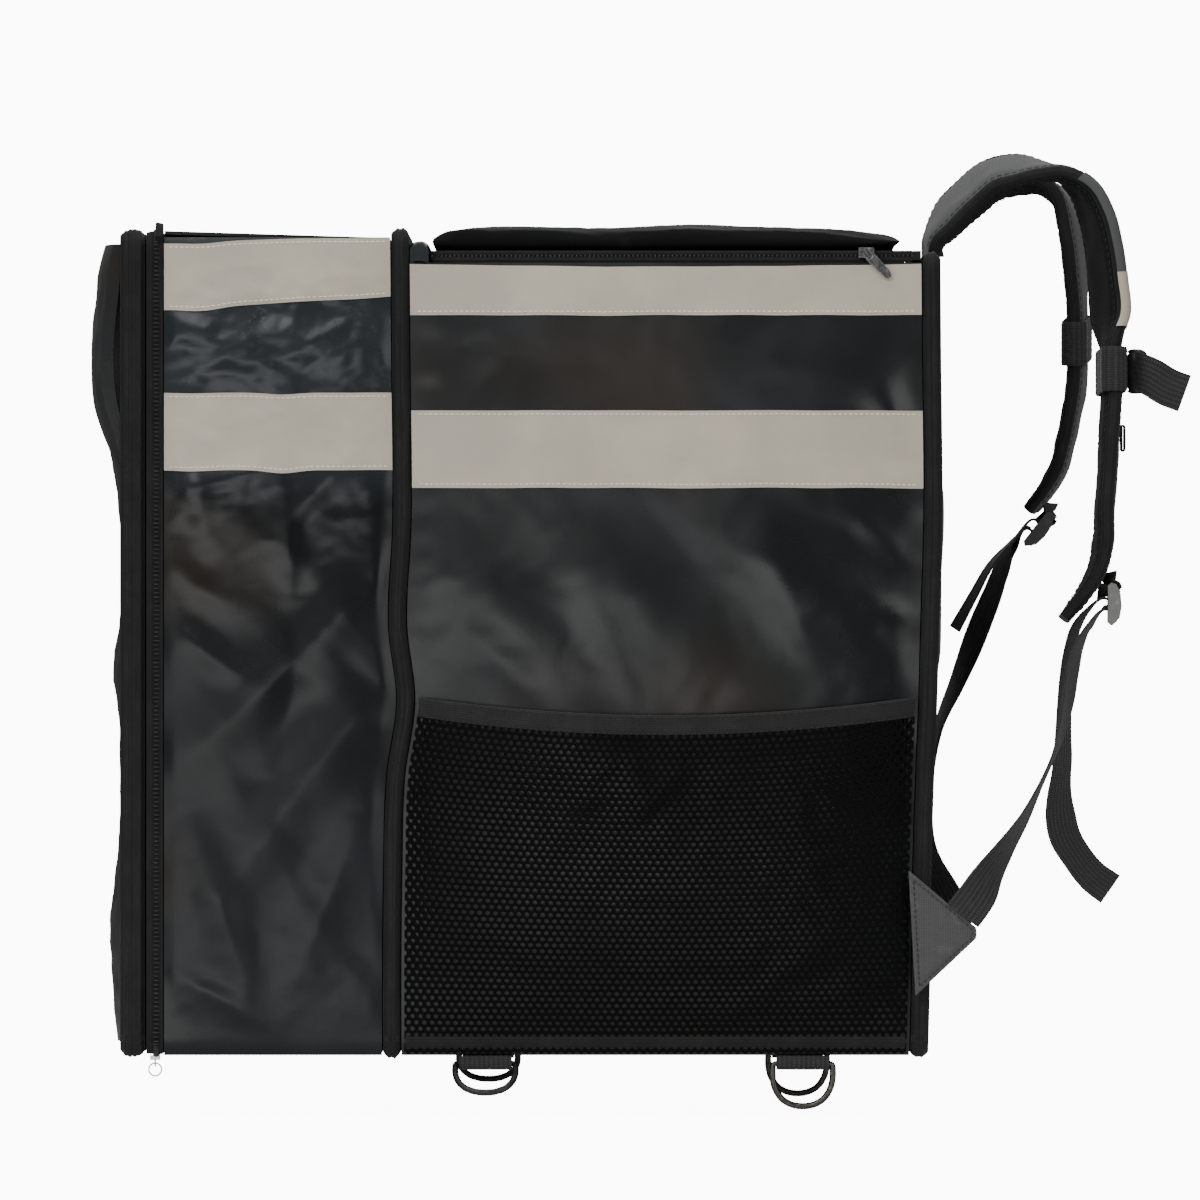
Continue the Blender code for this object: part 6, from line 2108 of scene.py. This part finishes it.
@dataclass
class Anchor:
    """The cloth triangle that each webbing starts from, with stitched edges."""

    side: Side
    finishes: Finishes
    overlap: float = 0.021
    reach: float = 0.044
    rise: float = 0.039
    tall: float = 0.080

    def build(self) -> Grid:
        """Makes the triangle.

        Returns:
            The place where the webbing leaves it.
        """
        label = self.side.label
        low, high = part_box(f"strap_anchor_{label}")
        seat = min(abs(low[1]), abs(high[1]))
        tip_x = BACK_X - self.overlap + self.reach
        low_z = LOW_Z + self.rise
        tip_z = low_z + self.tall / 2
        root = tip_x - self.reach
        blunt = 0.04 * self.tall
        corners = np.array((
            (root + 0.10 * self.reach, low_z), (tip_x, tip_z - blunt), (tip_x, tip_z + blunt),
            (root, low_z + self.tall),
        ))
        rows, columns = 34, 26
        share_z = np.linspace(0.0, 1.0, rows)[:, None]
        share_x = np.linspace(0.0, 1.0, columns)[None, :]
        z = low_z + self.tall * share_z
        left = root + 0.10 * self.reach * (1 - share_z)
        slope = ((corners[0, 0] + 0.0006, tip_x, tip_x, root + 0.0006), corners[:, 1])
        right = np.interp(z[:, 0], slope[1], slope[0])[:, None]
        x = left + (right - left) * share_x
        zz = z + 0 * x
        edge = np.minimum(
            np.minimum(x - left, (right - x) * 0.7), np.minimum(zz - low_z, low_z + self.tall - zz)
        )
        puff = 0.0020 - 0.0006 * np.exp(-edge / 0.0012) - 0.0004 * bell(edge - ANCHOR_ROW, 0.0008)
        puff = puff + 0.00025 * grain(x / 0.012, zz / 0.012, 111)
        outer = np.stack([x, self.side.value * (seat + puff), zz], axis=-1)
        inner = np.stack([x, self.side.value * (seat + 0 * puff), zz], axis=-1)
        lay = np.stack([x, zz, 0 * x], axis=-1)
        piece = slab_piece(f"anchor_cloth_{label}", outer, inner, [self.finishes.anchor_cloth], lay)
        piece.place("anchor_cloth", f"strap_anchor_{label}")
        centre = corners.mean(axis=0)
        ring = []
        for corner in np.concatenate([corners, corners[:1]]):
            ring.append(centre + (corner - centre) * 0.86)
        line = resample(np.array([(cx, self.side.value * (seat + 0.0021), cz) for cx, cz in ring]), 0.002)
        rows_of_stitches = [(line, facing(self.side, len(line)))]
        stitches = stitch_piece(
            f"anchor_stitches_{label}", rows_of_stitches, *DARK_STITCH, self.finishes.dark_thread
        )
        stitches.place("anchor_cloth")
        y = self.side.value * (seat + 0.002 + LIE_GAP + WEBBING_WALL / 2)
        return np.array((tip_x, y, tip_z))


@dataclass
class ChestStrap:
    """The sleeves round the straps, the slider with its short tail and the keeper."""

    near: ShoulderStrap
    far: ShoulderStrap
    finishes: Finishes
    tall: float = 0.029

    def build(self) -> None:
        """Makes the sleeves and the tail, and dresses the hard pieces."""
        centre = self.sleeve("chest_sleeve_near", "strap_sleeve_near", self.near, 13, 0.47)
        self.sleeve("chest_sleeve_far", "strap_sleeve_far", self.far, 11, 0.90)
        low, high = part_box("chest_slider_near")
        self.slider(np.array(low), np.array(high))
        middle, mouth, reach = (low[0] + high[0]) / 2, low[1], 0.033
        rows = (
            (-0.05, None, 0.0), (-0.04, 0.0, 0.0), (0.06, -0.16, -0.03), (0.26, -0.24, -0.12),
            (0.60, -0.25, -0.32), (0.92, -0.25, -0.44),
        )
        points = []
        for out, aside, fall in rows:
            y = centre[1] if aside is None else mouth + aside * reach
            points.append((middle + out * reach, y, centre[2] + fall * reach))
        points = finer(np.array(points), 0.0018)
        ways = curve_frames(points)
        width = unit(np.array((0.0, 0.0, 1.0)) - ways * ways[:, 2:3])
        face = np.cross(ways, width)
        ribbon_piece(
            "chest_webbing_tail", points, width, face, WEBBING_WIDTH, self.finishes.webbing, 0.0005
        ).place("webbing", "chest_tail_near")
        self.keeper()

    def slider(self, low: Grid, high: Grid) -> None:
        """The moulded slider: two rounded cheeks joined by bars, with a raised rim and a hollow between.

        Args:
            low: The lowest corner of its box.
            high: The highest.
        """
        middle, half = (low + high) / 2, (high - low) / 2
        shapes = []
        cheek = 0.0034
        for side in (-1.0, 1.0):
            centre = middle + np.array((0.0, side * (half[1] - cheek / 2), 0.0))
            shapes.append(rounded_block(centre, np.array((half[0], cheek / 2, half[2] * 0.97)), 0.0016, 2.6))
        for share in (-0.86, 0.0, 0.86):
            centre = middle + np.array((-half[0] * 0.25, 0.0, half[2] * share))
            shapes.append(
                rounded_block(centre, np.array((half[0] * 0.55, half[1] - cheek * 0.6, 0.0017)), 0.0010, 2.0)
            )
        points, faces = join_shapes(shapes)
        Piece(
            "moulded_chest_slider", points, faces, [self.finishes.black_plastic]
        ).place("black_plastic", "chest_slider_near")

    def sleeve(self, node: str, name: str, strap: ShoulderStrap, index: int, share: float) -> Grid:
        """A flat woven sleeve round a strap, with a raised square weave.

        Args:
            node: The node that it stands for.
            name: The piece's name.
            strap: The strap that it goes round.
            index: The row of the strap's run below it.
            share: How far it lies towards the next row.

        Returns:
            Its centre.
        """
        last = len(strap.rows) - 1
        spots = [strap.place(strap.rows[i].reach, strap.rows[i].drop, i / last) for i in (index, index + 1)]
        centre = spots[0] * (1 - share) + spots[1] * share
        way = (spots[1] - spots[0]) / np.linalg.norm(spots[1] - spots[0])
        turn = strap.rows[index].turn * (1 - share) + strap.rows[index + 1].turn * share
        width, face = lean_frames(way[None], np.array([strap.side.value * turn]))
        width, face = width[0], face[0]
        quarter = ((1.0, -0.22), (1.0, 0.22), (0.84, 0.5), (-0.84, 0.5))
        corners = np.array(
            [(-1.0, -0.22), (-0.84, -0.5), (0.84, -0.5), *quarter, (-1.0, 0.22), (-1.0, -0.22)]
        )
        half = (strap.width / 2 + 0.0008, strap.wall + 0.0016)
        outline = np.stack([corners[:, 0] * half[0], corners[:, 1] * half[1], 0 * corners[:, 0]], axis=1)
        ring = resample(outline, SLEEVE_STEP)[:-1]
        around = np.roll(ring, -1, axis=0) - np.roll(ring, 1, axis=0)
        outward = unit(np.stack([around[:, 1], -around[:, 0], 0 * around[:, 0]], axis=1))
        grid_wave = 0.00022
        outer, inner, lay = [], [], []
        for step in np.linspace(-0.5, 0.5, 15):
            end = abs(step) * 2
            wave = grid_wave * (np.cos(np.arange(len(ring)) * math.pi) + math.cos(step * 14 * math.pi)) * 0.5
            lift = WEBBING_WALL - 0.0004 * (end > 0.97) + wave
            for target, rise in ((outer, lift), (inner, 0.0001 + 0 * wave)):
                flat = ring + outward * np.reshape(rise, (-1, 1))
                target.append(centre + way * (step * self.tall) + width * flat[:, :1] + face * flat[:, 1:2])
            lay.append([(index * SLEEVE_STEP, step * self.tall, 0.0) for index in range(len(ring))])
        cloth = [self.finishes.webbing]
        loft_piece(name, outer + inner[::-1], cloth, looped=True, lay=lay + lay[::-1]).place("webbing", node)
        return centre

    def keeper(self) -> None:
        """The small woven loop below the sleeve."""
        low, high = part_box("strap_keeper_near")
        wall = 0.0017
        x = np.array((low[0] + wall / 2, high[0] - wall / 2))
        z = np.array((low[2] + wall / 2, high[2] - wall / 2))
        bend = 0.0009
        line = []
        for cx, cz, start in ((x[1], z[1], 0), (x[0], z[1], 90), (x[0], z[0], 180), (x[1], z[0], 270)):
            for step in range(5):
                angle = math.radians(start + step * 22.5)
                mx = cx - math.copysign(bend, cx - x.mean()) + bend * math.cos(angle)
                mz = cz - math.copysign(bend, cz - z.mean()) + bend * math.sin(angle)
                line.append((mx, (low[1] + high[1]) / 2, mz))
        ring_line = resample(np.array(line + line[:1]), KEEPER_STEP)[:-1]
        ways = unit(np.roll(ring_line, -1, axis=0) - np.roll(ring_line, 1, axis=0))
        face = np.stack([-ways[:, 2], 0 * ways[:, 0], ways[:, 0]], axis=1)
        wide = high[1] - low[1]
        sections, lay = [], []
        for index, (spot, out) in enumerate(zip(ring_line, face)):
            ring = []
            for across, rise in ((-0.5, -0.5), (0.5, -0.5), (0.5, 0.5), (-0.5, 0.5)):
                ring.append(spot + np.array((0, across * wide, 0)) + out * (rise * wall))
            sections.append(ring)
            lay.append([(across * wide, index * KEEPER_STEP, 0.0) for across in (-0.5, 0.5, 0.5, -0.5)])
        loft_piece(
            "webbing_keeper", sections, [self.finishes.binding], looped=True, lay=lay
        ).place("webbing", "strap_keeper_near")


@dataclass
class HangingRings:
    """The D-rings under the bag and the webbing tabs that they hang in."""

    finishes: Finishes

    def build(self) -> None:
        """Makes the tabs and dresses the rings."""
        for side in Side:
            for place, share in (("front", 0.166), ("back", 0.790)):
                self.tab(side, place, share)
                metal = self.finishes.dark_metal if place == "back" else self.finishes.black_plastic
                dress_node(f"d_ring_{place}_{side.label}", metal, smooth=2)

    def tab(self, side: Side, place: str, share: float) -> None:
        """One folded tab round a ring's bar."""
        front, back = float(main_front_x(LOW_Z)), float(main_back_x(LOW_Z))
        x = front + (back - front) * share
        bar = np.array((x, side.value * (SIDE_Y - 0.005), LOW_Z - 0.0052))
        bend = 0.0025 + 0.0004 + WEBBING_SHOWN / 2
        top = 0.0052 - LIE_GAP
        line = [(bend, top), (bend, top * 0.5)]
        for angle in range(0, -181, -15):
            line.append((bend * math.cos(math.radians(angle)), bend * math.sin(math.radians(angle))))
        line += [(-bend, top * 0.5), (-bend, top)]
        points = np.array([(x, bar[1] + y, bar[2] + z) for y, z in line])
        ways = curve_frames(points)
        width = np.tile((1.0, 0.0, 0.0), (len(points), 1))
        face = np.cross(ways, width)
        name, cloth = f"ring_webbing_{place}_{side.label}", self.finishes.webbing
        ribbon_piece(
            name, points, width, face, RING_TAB_WIDTH, cloth
        ).place("webbing", f"ring_tab_{place}_{side.label}")


@dataclass
class Studio:
    """The pale floor, the soft lights and the camera at the bag's side."""

    distance: float = 16.0
    frame_width: float = 1.2 / 1.55
    centre: tuple[float, float] = (-0.22194, 0.02774)
    surround: float = 0.12
    backdrop: float = 11.0
    floor_glow: float = 10.4
    floor_radius: float = 0.9
    floor_z: float = -0.3065
    middle: Colour = (-0.22, 0.0, 0.0)
    sensor: float = 36.0

    def build(self) -> None:
        """Makes the camera, the lights and the floor."""
        self.camera()
        self.floor()
        self.world()
        for name, place, size, power in (
            ("key", (-1.5, -2.6, 1.9), (2.2, 1.6), 62.0),
            ("fill", (1.7, -2.4, 0.7), (1.2, 2.2), 22.0),
            ("crown", (-0.2, -0.4, 2.4), (2.6, 1.4), 34.0),
            ("rear", (-0.4, 2.6, 1.4), (2.4, 1.6), 26.0),
            ("low", (-0.9, -2.2, -0.25), (1.8, 0.5), 9.0),
        ):
            self.light(name, place, size, power)

    def camera(self) -> None:
        """The straight side view."""
        data = bpy.data.cameras.new("camera")
        data.sensor_width = self.sensor
        data.lens = self.sensor * self.distance / self.frame_width
        data.clip_start, data.clip_end = 0.5, 60.0
        camera = bpy.data.objects.new("camera", data)
        camera.location = (self.centre[0], -SIDE_Y - self.distance, self.centre[1])
        camera.rotation_euler = (math.pi / 2, 0.0, 0.0)
        bpy.context.scene.collection.objects.link(camera)
        bpy.context.scene.camera = camera

    def light(self, name: str, place: tuple, size: tuple, power: float) -> None:
        """One soft box that faces the bag."""
        data = bpy.data.lights.new(name, "AREA")
        data.shape = "RECTANGLE"
        data.size, data.size_y = size
        data.energy = power
        lamp = bpy.data.objects.new(name, data)
        lamp.location = place
        lamp.rotation_euler = (Vector(self.middle) - Vector(place)).to_track_quat("-Z", "Y").to_euler()
        bpy.context.scene.collection.objects.link(lamp)

    def floor(self) -> None:
        """A pale round floor under the rings."""
        tree = Tree("studio_floor")
        speck = tree.noise(tree.coordinates(), 30.0)
        material = tree.dress(
            {"Base Color": speck.blend((0.86, 0.86, 0.86), (0.90, 0.90, 0.90))}, {"Roughness": 0.75}
        )
        seen = tree.node("ShaderNodeLightPath", {}, {}, "Is Camera Ray")
        tree.feed(tree.shader.inputs["Emission Color"], (1.0, 1.0, 1.0))
        tree.feed(tree.shader.inputs["Emission Strength"], seen * self.floor_glow)
        turns = np.linspace(0.0, 2 * math.pi, 96, endpoint=False)
        ring = np.stack([np.cos(turns), np.sin(turns), 0 * turns], axis=1)
        points = ring * self.floor_radius + (self.middle[0], 0.0, self.floor_z)
        mesh = bpy.data.meshes.new("studio_floor")
        mesh.from_pydata(points.tolist(), [], [tuple(range(len(turns)))])
        mesh.materials.append(material)
        floor = bpy.data.objects.new("studio_floor", mesh)
        bpy.context.scene.collection.objects.link(floor)

    def world(self) -> None:
        """A plain pale surround."""
        world = bpy.data.worlds.new("studio")
        world.use_nodes = True
        nodes, links = world.node_tree.nodes, world.node_tree.links
        glow, backdrop = nodes["Background"], nodes.new("ShaderNodeBackground")
        for shader, strength in ((glow, self.surround), (backdrop, self.backdrop)):
            shader.inputs["Color"].default_value = (1.0, 1.0, 1.0, 1.0)
            shader.inputs["Strength"].default_value = strength
        path = nodes.new("ShaderNodeLightPath")
        mix = nodes.new("ShaderNodeMixShader")
        links.new(path.outputs["Is Camera Ray"], mix.inputs[0])
        links.new(glow.outputs[0], mix.inputs[1])
        links.new(backdrop.outputs[0], mix.inputs[2])
        links.new(mix.outputs[0], nodes["World Output"].inputs["Surface"])
        bpy.context.scene.world = world


NEAR_ROWS = tuple(Station(*row) for row in (
    (0.027, 0.000, 3, 0.90), (0.022, -0.043, -3, 0.95), (0.087, -0.103, -12), (0.208, -0.168, -14),
    (0.350, -0.223, -14),
    (0.492, -0.236, -13), (0.617, -0.232, -5), (0.743, -0.220, 2), (0.852, -0.174, 10), (0.918, -0.106, 13),
    (0.956, -0.024, 14), (0.978, 0.071, 15), (0.995, 0.179, 14), (1.000, 0.245, 3), (1.000, 0.397, 3),
    (0.989, 0.478, 3), (0.978, 0.587, 2), (0.962, 0.696, 2, 0.98), (0.952, 0.791, 4, 0.92),
    (0.918, 0.864, 4, 0.78),
    (0.842, 0.929, 3, 0.62), (0.738, 0.995, 2, 0.45),
))
FAR_ROWS = tuple(Station(*row) for row in (
    (0.027, 0.000, 3, 0.90), (0.022, -0.043, -3, 0.95), (0.098, -0.092, -12), (0.240, -0.152, -12),
    (0.383, -0.200, -10),
    (0.503, -0.214, -8), (0.623, -0.208, -3), (0.710, -0.186, 3), (0.776, -0.141, 8), (0.814, -0.060, 8),
    (0.836, 0.030, 8), (0.842, 0.125, 5), (0.842, 0.234, 5), (0.842, 0.342, 5), (0.814, 0.424, 4),
    (0.781, 0.505, 4, 0.98), (0.738, 0.582, 4, 0.92), (0.661, 0.647, 4, 0.76), (0.590, 0.690, 4, 0.60),
))
NEAR_WEB = (
    (-0.108, 0.053, 0.000, 88), (-0.008, 0.108, 0.010, 80), (0.100, 0.183, 0.060, 50),
    (0.238, 0.269, 0.160, 28),
    (0.377, 0.359, 0.270, 15), (0.500, 0.461, 0.380, 6), (0.577, 0.533, 0.450, 5), (0.654, 0.625, 0.530, 12),
    (0.708, 0.718, 0.600, 18), (0.746, 0.805, 0.670, 20), (0.808, 0.885, 0.770, 16),
    (0.869, 0.932, 0.860, 10),
    (0.938, 0.972, 0.960, 4),
)
FAR_WEB = (
    (-0.10, -0.012, 0.000, 88), (-0.35, 0.060, -0.050, 70), (-0.62, 0.170, -0.060, 30),
    (-0.65, 0.330, 0.010, 12),
    (-0.48, 0.500, 0.110, 12), (-0.17, 0.620, 0.300, 24), (0.12, 0.730, 0.500, 34), (0.36, 0.820, 0.680, 30),
    (0.58, 0.905, 0.850, 22), (0.76, 0.960, 0.950, 12),
)
NEAR_TAIL = (
    (-0.48, 0.020, 0.00, 6), (-0.70, 0.080, 0.02, 14), (-0.82, 0.165, 0.03, 18), (-0.89, 0.265, 0.03, 20),
    (-0.92, 0.360, 0.03, 22), (-0.94, 0.467, 0.03, 25), (-0.95, 0.537, 0.03, 29), (-0.98, 0.606, 0.03, 31),
    (-1.01, 0.676, 0.02, 40), (-0.99, 0.746, 0.02, 52), (-0.91, 0.815, 0.01, 55), (-0.69, 0.885, 0.01, 52),
    (-0.39, 0.955, 0.00, 56), (-0.07, 1.000, 0.00, 60),
)
FAR_TAIL = (
    (-0.48, 0.030, 0.00, 2), (-0.92, 0.120, 0.03, 8), (-1.25, 0.230, 0.05, 12), (-1.60, 0.350, 0.07, 16)
)


def main() -> None:
    """Builds the bag's sub-assemblies in order, then the studio."""
    logging.basicConfig(level=logging.INFO, format="%(name)s: %(message)s")
    studio = Studio()
    studio.build()
    finishes = Finishes()
    main_wall, expansion_wall = side_walls()
    main_wall.build(finishes)
    expansion_wall.build(finishes)
    Edges(finishes).build()
    Door().build(finishes)
    FlatPanels(finishes).build()
    Lid(finishes).build()
    SidePocket(main_wall, finishes).build()
    near = ShoulderStrap(Side.NEAR, NEAR_ROWS, finishes, patch=(10.8, 12.6))
    far = ShoulderStrap(Side.FAR, FAR_ROWS, finishes)
    near.build()
    far.build()
    locks = (
        LockWeb(near, 1.016, 0.955, 0.0, (2.10, 1.40), NEAR_WEB, NEAR_TAIL, finishes),
        LockWeb(far, 0.640, 0.752, -38.0, (0.80, 0.10), FAR_WEB, FAR_TAIL, finishes),
    )
    for lock in locks:
        lock.build(Anchor(lock.strap.side, finishes).build())
    ChestStrap(near, far, finishes).build()
    HangingRings(finishes).build()
    dress_node("front_slider", finishes.bright_metal, SMALL_BEVEL)
    dress_node("front_ring_pull", finishes.bright_metal, smooth=1)
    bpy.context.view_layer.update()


if __name__ == "__main__":
    main()
